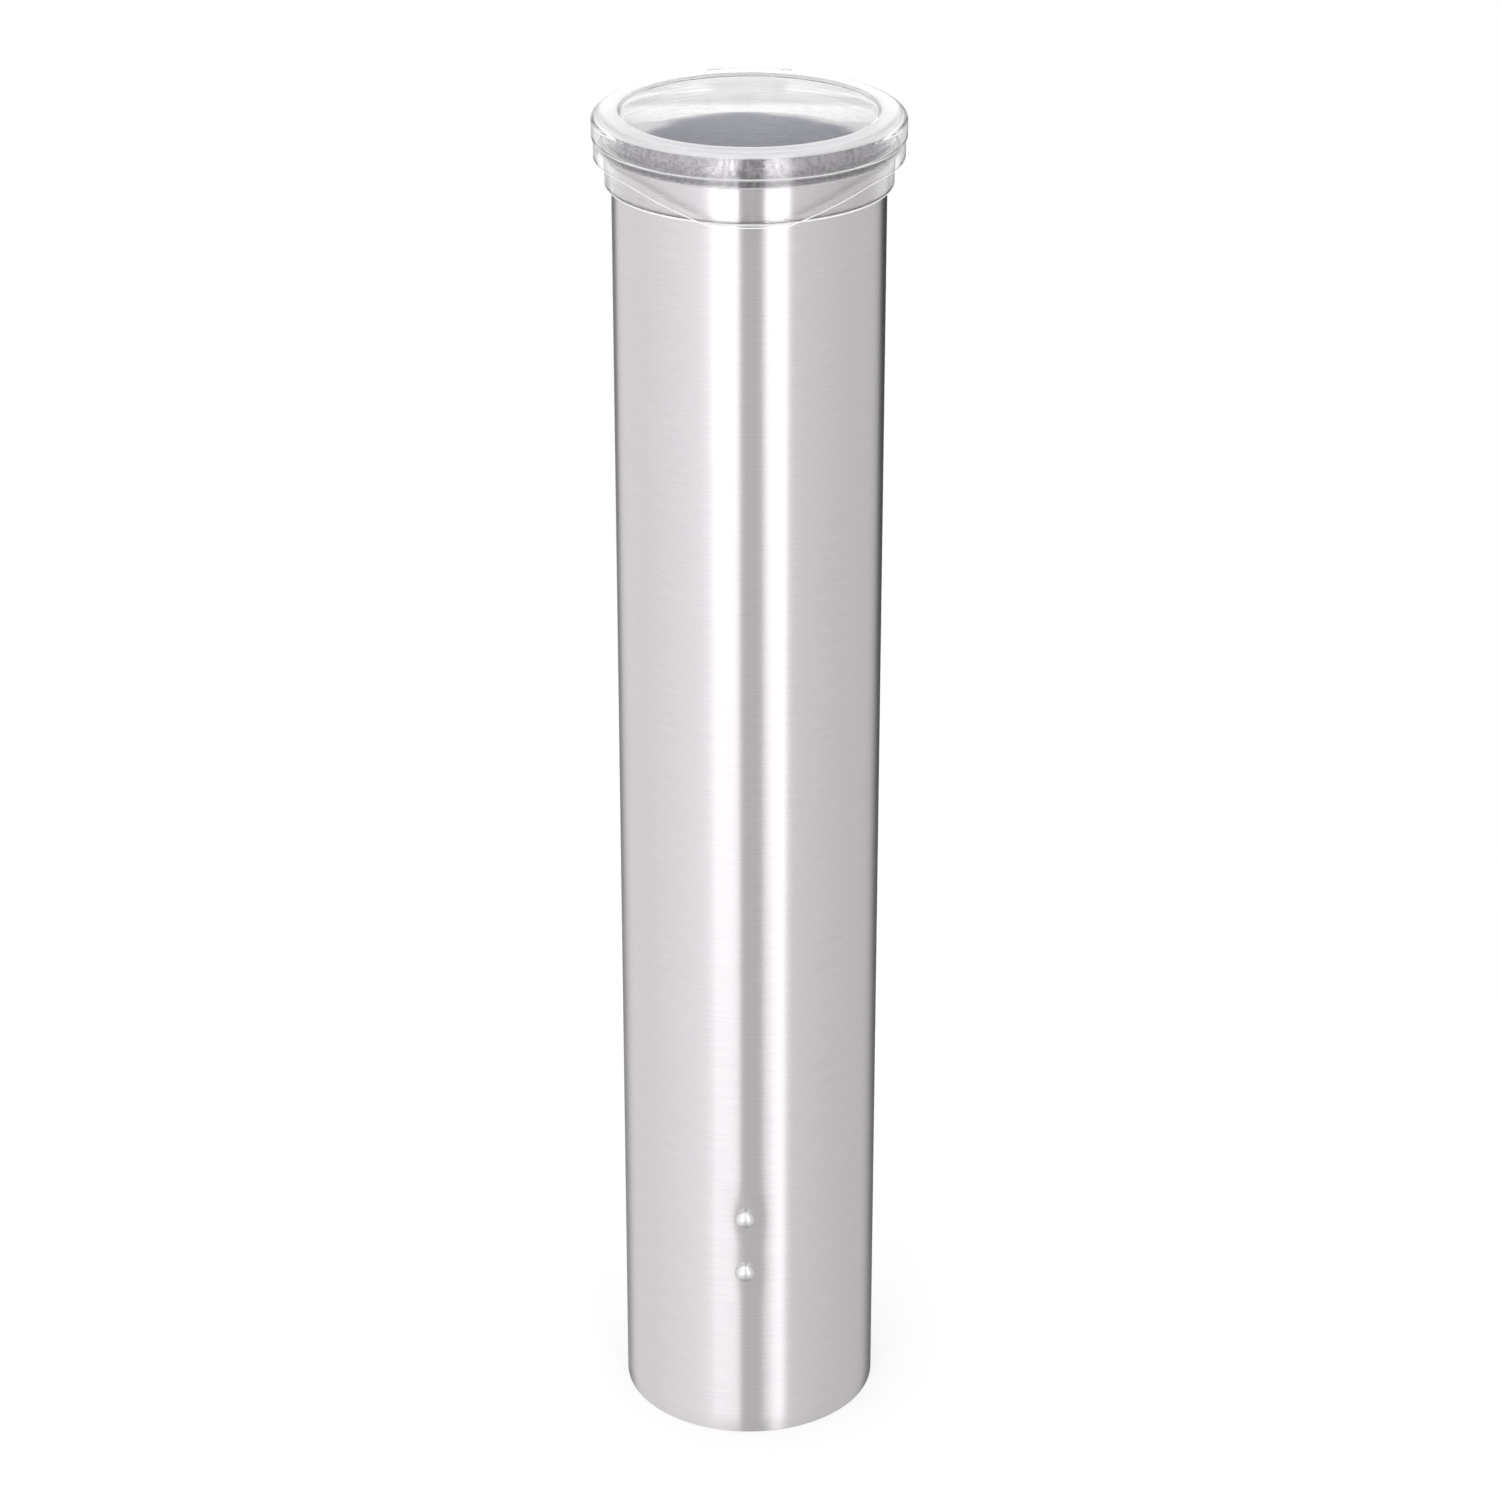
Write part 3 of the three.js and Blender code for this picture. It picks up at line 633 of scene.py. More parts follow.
def push(name, plane, outline, start, end):
    """Pushes an outline, drawn in one of the three planes, along the third direction."""
    count = len(outline)
    points = [plane @ Vector((x, y, depth)) for depth in (start, end) for x, y in outline]
    faces = [tuple(range(count)), tuple(range(count, 2 * count))]
    faces += [(i, (i + 1) % count, (i + 1) % count + count, i + count) for i in range(count)]
    return tidy_mesh(mesh_piece(name, points, faces))


def ribbon(line, thickness):
    """Both sides of a strip of even thickness along an open line of points."""
    line = [Vector(point) for point in line]
    left, right = [], []
    for i, point in enumerate(line):
        into = point - line[i - 1] if i else line[1] - point
        out = line[i + 1] - point if i + 1 < len(line) else into
        along = (into.normalized() + out.normalized()).normalized()
        normal = Vector((-along.y, along.x)) * (thickness / 2 / along.dot(out.normalized()))
        left.append(tuple(point + normal))
        right.append(tuple(point - normal))
    return [*left, *reversed(right)]


def soften(piece, width, segments=2):
    """Breaks the sharp edges of a piece with a small bevel."""
    step = piece.modifiers.new("bevel", "BEVEL")
    step.width = width
    step.segments = segments
    step.limit_method = "ANGLE"
    step.angle_limit = math.radians(BEVEL_DEGREES)
    return combine(piece, "UNION")


def copy_turned(name, piece, degrees):
    """A copy of a piece made at the front, turned round the tube's axis."""
    mesh = piece.data.copy()
    middle = Matrix.Translation((0, axis_y, 0))
    mesh.transform(middle @ Matrix.Rotation(math.radians(degrees), 4, "Z") @ middle.inverted())
    copied = bpy.data.objects.new(name, mesh)
    bpy.context.scene.collection.objects.link(copied)
    return copied


MILKY = (0.86, 0.87, 0.87)
MILKY_DEEP = (0.80, 0.82, 0.83)
MILKY_ROUGHNESS = 0.34
MILKY_DULLING = 0.16
MILKY_SPREAD = [1.0, 1.0, 1.0]
PORE_DEPTH = 0.01 * MM
CLOUD_DEPTH = 0.03 * MM

# Light spreads alike in all colours inside it, so that no red shows where it is thin.
milky_plastic, tree, surface = new_material("finger_milky_plastic")
where = joined(tree, *object_place(tree))
cloudy = noise(tree, where, scale=220.0)
pores = noise(tree, where, scale=2600.0, detail=1.0)
principled(
    tree, surface, Base_Color=mix_colours(tree, cloudy, MILKY, MILKY_DEEP),
    Roughness=calc(tree, "MULTIPLY_ADD", cloudy, MILKY_DULLING, MILKY_ROUGHNESS),
    Subsurface_Weight=0.25, Subsurface_Scale=0.002, Subsurface_Radius=MILKY_SPREAD,
    Normal=relief(tree, pores, PORE_DEPTH, relief(tree, cloudy, CLOUD_DEPTH)),
)

finger_outer = bore_radius - FINGER_GAP
finger_inner = finger_outer - FINGER_THICKNESS
finger_middle = (finger_outer + finger_inner) / 2
nose = NOSE_RADIUS + FINGER_THICKNESS / 2
finger_foot = NOSE_HEIGHT - HOOK_LENGTH
finger_line = dense(rounded([
    (finger_middle, FINGER_TOP),
    (finger_middle, BEND_HEIGHT, BEND_ROUND),
    (nose, NOSE_HEIGHT, NOSE_ROUND),
    (nose + HOOK_REACH, finger_foot),
]), FINGER_ROW)
finger_front = rounded([
    (-FINGER_WIDTH / 2, BEND_HEIGHT),
    (-FINGER_TIP_WIDTH / 2, finger_foot, FINGER_ROUND),
    (FINGER_TIP_WIDTH / 2, finger_foot, FINGER_ROUND),
    (FINGER_WIDTH / 2, BEND_HEIGHT),
    (FINGER_WIDTH / 2, FINGER_TOP, FINGER_ROUND),
    (-FINGER_WIDTH / 2, FINGER_TOP, FINGER_ROUND),
])


def grooved(outline):
    """Draws the side that faces the axis back into a shallow groove at the bend."""
    points = []
    for i, (r, z) in enumerate(outline):
        inner = i >= len(outline) / 2
        away = (z - BEND_HEIGHT) / GROOVE_HALF
        points.append((r + GROOVE_DEPTH * math.exp(-away ** 2) if inner else r, z))
    return points


finger_ring = ribbon(finger_line, FINGER_THICKNESS)
if finger_ring[0][0] < finger_ring[-1][0]:
    finger_ring.reverse()
strip = combine(
    lathe("strip", grooved(finger_ring), FINGER_SIDES), "INTERSECT",
    push("strip_outline", FRONT, finger_front, -tube_radius, 0),
)
combine(strip, "DIFFERENCE", *[rivet_hole(0, height, RIVET_SHANK) for height in RIVET_HEIGHTS])
soften(strip, FINGER_EDGE)
for name, degrees in FINGER_TURNS.items():
    finger = copy_turned(f"finger_{name}", strip, degrees)
    smooth(finger)
    dress(finger, milky_plastic, "milky_plastic", f"finger_{name}_pad", f"finger_{name}_blade")
    out = station(degrees) @ Vector((0, 0, finger_middle))
    out.y += axis_y
    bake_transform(finger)
bpy.data.objects.remove(strip)

# Backing plates
# Thin pressed strips of satin steel inside the fingers, curved to the bore, which spread the
# pull of the rivets over the plastic.
PLATE_THICKNESS = 0.5 * MM
PLATE_WIDTH = 11 * MM
PLATE_MARGIN = 5.5 * MM
PLATE_ROUND = 2 * MM
PLATE_GAP = 0.05 * MM
PLATE_EDGE = 0.08 * MM
SATIN_DARK = (0.53, 0.53, 0.54)
SATIN_LIGHT = (0.63, 0.63, 0.64)
SATIN_ROUGHNESS = 0.30
SMUDGE_DULLING = 0.14
ROLLING_DULLING = 0.10
ROLLING_ACROSS = 1900.0
ROLLING_UP = 70.0
ROLLING_DEPTH = 0.006 * MM

satin_steel, tree, surface = new_material("satin_rolled_steel")
across, along, height = object_place(tree)
rolling = noise(tree, joined(
    tree, calc(tree, "MULTIPLY", across, ROLLING_ACROSS),
    calc(tree, "MULTIPLY", along, ROLLING_ACROSS), calc(tree, "MULTIPLY", height, ROLLING_UP),
), detail=4.0, roughness=0.65)
smudges = noise(tree, joined(tree, across, along, height), scale=60.0)
gloss = calc(tree, "MULTIPLY_ADD", smudges, SMUDGE_DULLING, SATIN_ROUGHNESS)
principled(
    tree, surface, Base_Color=mix_colours(tree, rolling, SATIN_DARK, SATIN_LIGHT), Metallic=1.0,
    Roughness=calc(tree, "MULTIPLY_ADD", rolling, ROLLING_DULLING, gloss),
    Normal=relief(tree, rolling, ROLLING_DEPTH),
)

plate_outer = finger_inner - PLATE_GAP
plate_inner = plate_outer - PLATE_THICKNESS
plate_low = RIVET_HEIGHTS[0] - PLATE_MARGIN
plate_high = RIVET_HEIGHTS[1] + PLATE_MARGIN
plate_front = rounded([
    (-PLATE_WIDTH / 2, plate_low, PLATE_ROUND),
    (PLATE_WIDTH / 2, plate_low, PLATE_ROUND),
    (PLATE_WIDTH / 2, plate_high, PLATE_ROUND),
    (-PLATE_WIDTH / 2, plate_high, PLATE_ROUND),
])
plate_ring = [
    (plate_inner, plate_low), (plate_outer, plate_low),
    (plate_outer, plate_high), (plate_inner, plate_high),
]
plate = combine(
    lathe("plate", plate_ring, FINGER_SIDES), "INTERSECT",
    push("plate_outline", FRONT, plate_front, -tube_radius, 0),
)
combine(plate, "DIFFERENCE", *[rivet_hole(0, height, RIVET_SHANK) for height in RIVET_HEIGHTS])
soften(plate, PLATE_EDGE)
for name, degrees in FINGER_TURNS.items():
    backing = copy_turned(f"backing_plate_{name}_sheet", plate, degrees)
    smooth(backing)
    dress(backing, satin_steel, "bracket_steel", f"backing_plate_{name}")
    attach(backing, "housing")
bpy.data.objects.remove(plate)

# Finger rivets
# Bright domed rivets through the wall, the finger and the plate. The head sits in the small
# dent that it draws into the wall, and the tail is set flat on the plate.
HEAD_RADIUS = 3 * MM
HEAD_RISE = 1.95 * MM
HEAD_BRIM = 0.2 * MM
HEAD_SEAT = 0.22 * MM
TAIL_RADIUS = 2.6 * MM
TAIL_RISE = 0.6 * MM
RIVET_SIDES = 64
RIVET_DARK = (0.62, 0.62, 0.625)
RIVET_LIGHT = (0.72, 0.72, 0.725)
RIVET_ROUGHNESS = 0.26
RIVET_DULLING = 0.14
RIVET_SMOOTH_DEGREES = 50
SCUFF_DEPTH = 0.004 * MM
DULL_DEPTH = 0.02 * MM

bright_steel, tree, surface = new_material("rivet_bright_steel")
where = joined(tree, *object_place(tree))
dulled = noise(tree, where, scale=700.0)
scuffs = noise(tree, where, scale=3200.0, detail=5.0, roughness=0.75)
principled(
    tree, surface, Base_Color=mix_colours(tree, dulled, RIVET_DARK, RIVET_LIGHT), Metallic=1.0,
    Roughness=calc(tree, "MULTIPLY_ADD", dulled, RIVET_DULLING, RIVET_ROUGHNESS),
    Normal=relief(tree, scuffs, SCUFF_DEPTH, relief(tree, dulled, DULL_DEPTH)),
)


def dome(radius, base, rise, steps=12):
    """A quarter of an ellipse, from the edge of a domed end to its middle."""
    turns = [math.pi / 2 * step / steps for step in range(steps)]
    return [*[(radius * math.cos(t), base + rise * math.sin(t)) for t in turns], (0, base + rise)]


def rivet(name, shank, tail, head, place):
    """One rivet. Its tail and head are (radius, seat, rise, brim), seats from the tube's axis."""
    tail_radius, tail_seat, tail_rise, tail_brim = tail
    head_radius, head_seat, head_rise, head_brim = head
    outline = [
        *reversed(dome(tail_radius, tail_seat - tail_brim, -tail_rise)),
        (tail_radius, tail_seat), (shank, tail_seat), (shank, head_seat),
        (head_radius, head_seat), *dome(head_radius, head_seat + head_brim, head_rise),
    ]
    return smooth(lathe(name, outline, RIVET_SIDES, place), RIVET_SMOOTH_DEGREES)


finger_tail = (TAIL_RADIUS, plate_inner, TAIL_RISE, HEAD_BRIM / 2)
finger_head = (HEAD_RADIUS, tube_radius - HEAD_SEAT, HEAD_RISE, HEAD_BRIM)
for name, degrees in FINGER_TURNS.items():
    for level, height in zip(("lower", "upper"), RIVET_HEIGHTS):
        piece = rivet(
            f"rivet_{name}_{level}_bright", RIVET_SHANK, finger_tail, finger_head,
            station(degrees, height),
        )
        dress(piece, bright_steel, "rivet_steel", f"rivet_{name}_{level}")
        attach(piece, "housing")

# Wall bracket
# A channel folded from satin steel sheet. Its flanges are rolled to the tube and riveted to
# its back, and two keyholes in its web drop over screws in the wall.
BRACKET_THICKNESS = 1 * MM
BRACKET_WIDTH = 30 * MM
BRACKET_BEND = 2 * MM
BRACKET_SEAT = 0.1 * MM
BRACKET_FLANGE = 14 * MM
BRACKET_ROUND = 3 * MM
BRACKET_EDGE = 0.12 * MM
KEYHOLE_INSET = 20 * MM
KEYHOLE_RADIUS = 4.5 * MM
KEYHOLE_SLOT = 2.3 * MM
KEYHOLE_DROP = 9 * MM
FLANGE_STEPS = 12
BRACKET_RIVET_INSET = 14 * MM
BRACKET_SHANK = 1.6 * MM
BRACKET_HEAD_RADIUS = 2.8 * MM
BRACKET_HEAD_RISE = 0.7 * MM
BRACKET_TAIL_RADIUS = 2.4 * MM
BRACKET_TAIL_RISE = 0.9 * MM
BRACKET_BRIM = 0.1 * MM


def arc(across, up, radius, start, end, steps=24):
    """Points along an arc, from one angle to another."""
    turns = [start + (end - start) * step / steps for step in range(steps + 1)]
    return [(across + radius * math.cos(t), up + radius * math.sin(t)) for t in turns]


bracket_low, bracket_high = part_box("bracket")
leg_x = (BRACKET_WIDTH - BRACKET_THICKNESS) / 2
web_y = bracket_high.y - axis_y - BRACKET_THICKNESS / 2
flange_radius = tube_radius + BRACKET_SEAT + BRACKET_THICKNESS / 2
flange_start = math.asin(leg_x / flange_radius)
flange_end = flange_start + BRACKET_FLANGE / flange_radius
foot_y = math.sqrt(flange_radius ** 2 - leg_x ** 2)
half_line = [
    *arc(
        0, 0, flange_radius, math.pi / 2 - flange_end, math.pi / 2 - flange_start, FLANGE_STEPS,
    )[:-1],
    (leg_x, foot_y, BRACKET_BEND / 2),
    (leg_x, web_y, BRACKET_BEND),
]
other_half = [(-x, y, *radius) for x, y, *radius in reversed(half_line)]
bracket = push(
    "wall_bracket", PLAN, ribbon(rounded([*half_line, *other_half]), BRACKET_THICKNESS),
    bracket_low.z, bracket_high.z,
)
sheet = rounded([
    (bracket_low.x, bracket_low.z, BRACKET_ROUND),
    (bracket_high.x, bracket_low.z, BRACKET_ROUND),
    (bracket_high.x, bracket_high.z, BRACKET_ROUND),
    (bracket_low.x, bracket_high.z, BRACKET_ROUND),
])
combine(bracket, "INTERSECT", push("sheet_corners", FRONT, sheet, 0, 2 * tube_radius))
mouth_half = math.asin(KEYHOLE_SLOT / KEYHOLE_RADIUS)
bracket_turns = {
    "right": 180 - math.degrees(flange_start + flange_end) / 2,
    "left": 180 + math.degrees(flange_start + flange_end) / 2,
}
bracket_rivet_heights = (bracket_low.z + BRACKET_RIVET_INSET, bracket_high.z - BRACKET_RIVET_INSET)
cutters = [
    rivet_hole(degrees, height, BRACKET_SHANK)
    for degrees in bracket_turns.values() for height in bracket_rivet_heights
]
for slot_top in (bracket_low.z + KEYHOLE_INSET, bracket_high.z - KEYHOLE_INSET):
    mouth = slot_top - KEYHOLE_DROP / 2
    keyhole = [
        *arc(0, mouth, KEYHOLE_RADIUS, math.pi / 2 + mouth_half, math.pi * 5 / 2 - mouth_half),
        *arc(0, mouth + KEYHOLE_DROP, KEYHOLE_SLOT, 0, math.pi),
    ]
    cutters.append(push("keyhole", FRONT, keyhole, tube_radius, 2 * tube_radius))
combine(bracket, "DIFFERENCE", *cutters)
soften(bracket, BRACKET_EDGE)
smooth(bracket)
dress(bracket, satin_steel, "bracket_steel", "bracket")
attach(bracket, "housing")

# Bracket rivets
# Flat-headed rivets from inside the tube, with their tails set on the bracket's flanges.
bracket_inner = (BRACKET_HEAD_RADIUS, bore_radius, BRACKET_HEAD_RISE, BRACKET_BRIM)
flange_outside = flange_radius + BRACKET_THICKNESS / 2
bracket_outer = (BRACKET_TAIL_RADIUS, flange_outside, BRACKET_TAIL_RISE, BRACKET_BRIM)
for name, degrees in bracket_turns.items():
    for level, height in zip(("lower", "upper"), bracket_rivet_heights):
        piece = rivet(
            f"bracket_rivet_{name}_{level}_bright", BRACKET_SHANK, bracket_inner, bracket_outer,
            station(degrees, height),
        )
        dress(piece, bright_steel, "rivet_steel", f"bracket_rivet_{name}_{level}")
        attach(piece, "housing")

# Collar
# A ring of clear plastic in the shape of an upturned U, moulded in one piece and pressed over
# the tube's top edge. A flange runs round it, a clip reaches down inside the tube at the back,
# and two gusseted ears behind it carry the hinge pin.
COLLAR_SEAT = 0.1 * MM
SKIRT_REACH = 1.9 * MM
SKIRT_DROP = 17.7 * MM
SKIRT_ROUND = 0.8 * MM
FLANGE_REACH = 3.2 * MM
FLANGE_THICKNESS = 2.4 * MM
FLANGE_DROP = 4.7 * MM
FLANGE_ROUND = 0.4 * MM
NECK_REACH = 2.0 * MM
NECK_ROUND = 0.6 * MM
ROOF_RISE = 1.1 * MM
LIP_REACH = 1.2 * MM
LIP_DROP = 2.7 * MM
LIP_ROUND = 0.4 * MM
CLIP_WIDTH = 23.4 * MM
CLIP_DROP = 11 * MM
CLIP_ROUND = 2 * MM
HINGE_WIDTH = 24 * MM
KNUCKLE_RADIUS = 2.6 * MM
EAR_WIDTH = 4 * MM
EAR_DROP = 12 * MM
EAR_FLANK = math.radians(-35)
PIN_GAP = 0.15 * MM
CUT_OVERRUN = 6 * MM
EDGE_FACING = 0.1
CLEAR = (0.998, 0.995, 0.997)
# The white of the frosted edges and of the satin rim, partly painted highlight.
PALE_FINISH_AND_HIGHLIGHT = (0.98, 0.98, 0.985)
# Painted shade: grey tints that dim the neck and the flange where shade falls under the lid's rim.
NECK_SHADE_DARK = (0.36, 0.36, 0.38)
NECK_SHADE_PALE = (0.88, 0.88, 0.91)
FLANGE_SHADE_DARK = (0.20, 0.20, 0.22)
FLANGE_SHADE_PALE = (0.50, 0.50, 0.53)
BAND_FADE = 0.1 * MM
FLECKS_FROM = 0.3
FLECKS_TO = 0.7
STIPPLE_ROUGHNESS = 0.01
STIPPLE_DULLING = 0.05
STIPPLE_DEPTH = 0.006 * MM
CLEAR_ROUGHNESS = 0.004
HAZE_DULLING = 0.016
FLOW_DEPTH = 0.012 * MM
FROST_ROUGHNESS = 0.35
FROST_DULLING = 0.2
FROST_DEPTH = 0.01 * MM

skirt_inner = tube_radius + COLLAR_SEAT
skirt_outer = tube_radius + SKIRT_REACH
skirt_bottom = tube_height - SKIRT_DROP
flange_outer = tube_radius + FLANGE_REACH
flange_top = tube_height - FLANGE_DROP
flange_bottom = flange_top - FLANGE_THICKNESS
neck_outer = tube_radius + NECK_REACH
roof_under = tube_height + COLLAR_SEAT
roof_top = tube_height + ROOF_RISE
lip_outer = bore_radius - COLLAR_SEAT
lip_inner = bore_radius - LIP_REACH
lip_bottom = tube_height - LIP_DROP
pin_low, pin_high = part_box("hinge_pin")
hinge_y = (pin_low.y + pin_high.y) / 2 - axis_y
hinge_z = (pin_low.z + pin_high.z) / 2
pin_radius = (pin_high.z - pin_low.z) / 2
hinge_half = HINGE_WIDTH / 2
ear_inner = hinge_half - EAR_WIDTH

clear_plastic, tree, surface = new_material("clear_moulded_plastic")
where = joined(tree, *object_place(tree))
flow = noise(tree, where, scale=45.0, detail=1.0)
haze = noise(tree, where, scale=420.0, detail=4.0)
principled(
    tree, surface, Base_Color=CLEAR, Transmission_Weight=1.0, IOR=1.49,
    Roughness=calc(tree, "MULTIPLY_ADD", haze, HAZE_DULLING, CLEAR_ROUGHNESS),
    Normal=relief(tree, flow, FLOW_DEPTH),
)

# Where the mould parts, the edges are left slightly frosted, and their white is partly painted
# highlight, standing in for the bright lines that light draws along the downward edges.
frosted_edge_and_highlight, tree, surface = new_material("frosted_plastic_edge_painted_highlight")
fine = noise(tree, joined(tree, *object_place(tree)), scale=1800.0)
principled(
    tree, surface, Base_Color=PALE_FINISH_AND_HIGHLIGHT, Transmission_Weight=0.15, IOR=1.49,
    Roughness=calc(tree, "MULTIPLY_ADD", fine, FROST_DULLING, FROST_ROUGHNESS),
    Normal=relief(tree, fine, FROST_DEPTH),
)

# The outside of the neck and the flange has a stippled grip, and a grey tint of painted shade that dims
# what shows through it, darkest on the flange, standing in for the shade that falls under the lid's
# rim.
stipple_and_painted_shade, tree, surface = new_material("stippled_plastic_painted_shade")
where = joined(tree, *object_place(tree))
stipple = noise(tree, where, scale=1300.0, detail=4.0, roughness=0.7)
flecks = fade(tree, noise(tree, where, scale=850.0, detail=2.0), FLECKS_FROM, FLECKS_TO)
on_neck = fade(tree, parts_of(tree, where)[2], flange_top - BAND_FADE, flange_top)
dark = mix_colours(tree, on_neck, FLANGE_SHADE_DARK, NECK_SHADE_DARK)
light = mix_colours(tree, on_neck, FLANGE_SHADE_PALE, NECK_SHADE_PALE)
principled(
    tree, surface, Base_Color=mix_colours(tree, flecks, dark, light),
    Transmission_Weight=1.0, IOR=1.49,
    Roughness=calc(tree, "MULTIPLY_ADD", stipple, STIPPLE_DULLING, STIPPLE_ROUGHNESS),
    Normal=relief(tree, stipple, STIPPLE_DEPTH),
)


def finish_faces(piece, finish, wanted):
    """Gives the faces whose normal, radius and height are wanted another finish."""
    piece.data.materials.append(finish)
    index = len(piece.data.materials) - 1
    for face in piece.data.polygons:
        radius = math.hypot(face.center.x, face.center.y - axis_y)
        if wanted(face.normal, radius, face.center.z):
            face.material_index = index


collar = lathe("collar_clear", rounded([
    (skirt_inner, skirt_bottom, LIP_ROUND / 2),
    (skirt_outer, skirt_bottom, SKIRT_ROUND),
    (skirt_outer, flange_bottom),
    (flange_outer, flange_bottom, FLANGE_ROUND),
    (flange_outer, flange_top, FLANGE_ROUND),
    (neck_outer, flange_top, FLANGE_ROUND),
    (neck_outer, roof_top, NECK_ROUND),
    (lip_inner, roof_top, LIP_ROUND),
    (lip_inner, lip_bottom),
    (lip_outer, lip_bottom),
    (lip_outer, roof_under),
    (skirt_inner, roof_under),
]))

ear_root = math.sqrt(skirt_inner ** 2 - hinge_half ** 2)
ear_outline = [
    (ear_root, hinge_z),
    (ear_root, hinge_z - EAR_DROP),
    (skirt_outer, hinge_z - EAR_DROP),
    *arc(hinge_y, hinge_z, KNUCKLE_RADIUS, EAR_FLANK, math.pi),
]
ears = []
for side in (-1, 1):
    start, end = sorted((side * hinge_half, side * ear_inner))
    ear = push("ear", SIDE, ear_outline, start, end)
    bore_space = [(0, 0), (skirt_inner, 0), (skirt_inner, roof_under), (0, roof_under)]
    ears.append(combine(ear, "DIFFERENCE", lathe("tube_space", bore_space)))

clip_top = lip_bottom + (lip_outer - lip_inner)
clip_bottom = tube_height - CLIP_DROP
clip_ring = rounded([
    (lip_inner, clip_bottom, LIP_ROUND / 2), (lip_outer, clip_bottom, LIP_ROUND / 2),
    (lip_outer, clip_top), (lip_inner, clip_top),
])
clip_outline = rounded([
    (-CLIP_WIDTH / 2, clip_top), (-CLIP_WIDTH / 2, clip_bottom, CLIP_ROUND),
    (CLIP_WIDTH / 2, clip_bottom, CLIP_ROUND), (CLIP_WIDTH / 2, clip_top),
])
clip = combine(
    lathe("clip", clip_ring), "INTERSECT",
    push("clip_outline", FRONT, clip_outline, 0, tube_radius),
)


def pin_bore():
    """A cutter for the hole that the hinge pin goes through."""
    circle = arc(hinge_y, hinge_z, pin_radius + PIN_GAP, 0, 2 * math.pi, 48)[:-1]
    return push("pin_bore", SIDE, circle, -hinge_half - CUT_OVERRUN, hinge_half + CUT_OVERRUN)


combine(collar, "UNION", *ears, clip)
combine(collar, "DIFFERENCE", pin_bore())
smooth(collar)
dress(collar, clear_plastic, "clear_plastic", "collar")
# Downward faces low on the collar take the frosted white, partly painted highlight.
finish_faces(collar, frosted_edge_and_highlight, lambda normal, radius, height: (
    normal.z < -EDGE_FACING and height < flange_bottom + FLANGE_ROUND
))
# The neck and the flange take the grey tint of painted shade.
finish_faces(collar, stipple_and_painted_shade, lambda normal, radius, height: (
    abs(normal.z) < EDGE_FACING and radius > neck_outer - COLLAR_SEAT
    and flange_bottom < height < roof_top - NECK_ROUND
))
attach(collar, "housing")

# Hinge pin
# A ground steel pin with chamfered ends, pressed through the collar's ears and the lid's barrel.
PIN_CHAMFER = 0.2 * MM
PIN_ROUGHNESS = 0.18
RING_DULLING = 0.15
RINGS_ALONG = 2600.0
RINGS_ACROSS = 90.0
RING_DEPTH = 0.004 * MM

ground_steel, tree, surface = new_material("ground_pin_steel")
across, along, height = object_place(tree)
rings = noise(tree, joined(
    tree, calc(tree, "MULTIPLY", across, RINGS_ALONG), calc(tree, "MULTIPLY", along, RINGS_ACROSS),
    calc(tree, "MULTIPLY", height, RINGS_ACROSS),
), detail=4.0, roughness=0.7)
principled(
    tree, surface, Base_Color=mix_colours(tree, rings, SATIN_DARK, RIVET_DARK), Metallic=1.0,
    Roughness=calc(tree, "MULTIPLY_ADD", rings, RING_DULLING, PIN_ROUGHNESS),
    Normal=relief(tree, rings, RING_DEPTH),
)
pin_outline = [
    (0, pin_low.x), (pin_radius - PIN_CHAMFER, pin_low.x), (pin_radius, pin_low.x + PIN_CHAMFER),
    (pin_radius, pin_high.x - PIN_CHAMFER), (pin_radius - PIN_CHAMFER, pin_high.x), (0, pin_high.x),
]
lying = Matrix.Translation((0, hinge_y, hinge_z)) @ Matrix.Rotation(math.pi / 2, 4, "Y")
pin = smooth(lathe("hinge_pin_ground", pin_outline, RIVET_SIDES, lying))
dress(pin, ground_steel, "pin_steel", "hinge_pin")
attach(pin, "housing")

# Lid
# Clear plastic, moulded in one piece: a flat disc inside a raised bead, a rim that turns over
# into an apron, a finger tongue at the front between two ramps with a fine mould line over
# each, and behind it the hinge's barrel, arm and stop heel. It covers the collar's flange.
LID_THICKNESS = 1 * MM
LID_SIDE_GAP = 0.4 * MM
LID_INNER_ROUND = 1.2 * MM
APRON_WALL = 1.3 * MM
APRON_DROP = 2.7 * MM
APRON_EDGE_ROUND = 0.4 * MM
APRON_BACK = math.radians(75)
TONGUE_WIDTH = 20 * MM
RAMP_WIDTH = 24 * MM
RIM_STEP = 0.5 * MM
RIM_LIFT = 0.9 * MM
REAR_LIFT = 0.6 * MM
RIM_ROUND_WIDTH = 5 * MM
RIM_ROUND_HEIGHT = 2.6 * MM
BEAD_WIDTH = 7.2 * MM
BEAD_RISE = 0.6 * MM
BEAD_SLOPE = 0.9 * MM
BEAD_ROUND = 0.5 * MM
KNUCKLE_RELIEF = 0.35 * MM
WINDOW_GAP = 0.3 * MM
HEEL_THICKNESS = 2.2 * MM
HEEL_ROUND = 1 * MM
ARM_LEAD = 0.6 * MM
ARM_CREST = math.radians(60)
LINE_HEIGHT = 0.35 * MM
LINE_DEPTH = 0.15 * MM
SATIN_FACING = 0.7
SATIN_RIM_ROUGHNESS = 0.12
SATIN_RIM_DULLING = 0.16
SATIN_RIM_DEPTH = 0.03 * MM

lid_low, lid_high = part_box("lid")
rim_outer = lid_high.x
bead_top = lid_high.z
tongue_bottom = lid_low.z
disc_top = bead_top - BEAD_RISE
lid_under = disc_top - LID_THICKNESS
apron_outer = rim_outer - RIM_STEP
lid_inner = apron_outer - APRON_WALL
apron_bottom = flange_bottom - APRON_DROP
rim_bottom = flange_top + RIM_LIFT
bead_inner = rim_outer - BEAD_WIDTH
tongue_length = apron_bottom - tongue_bottom

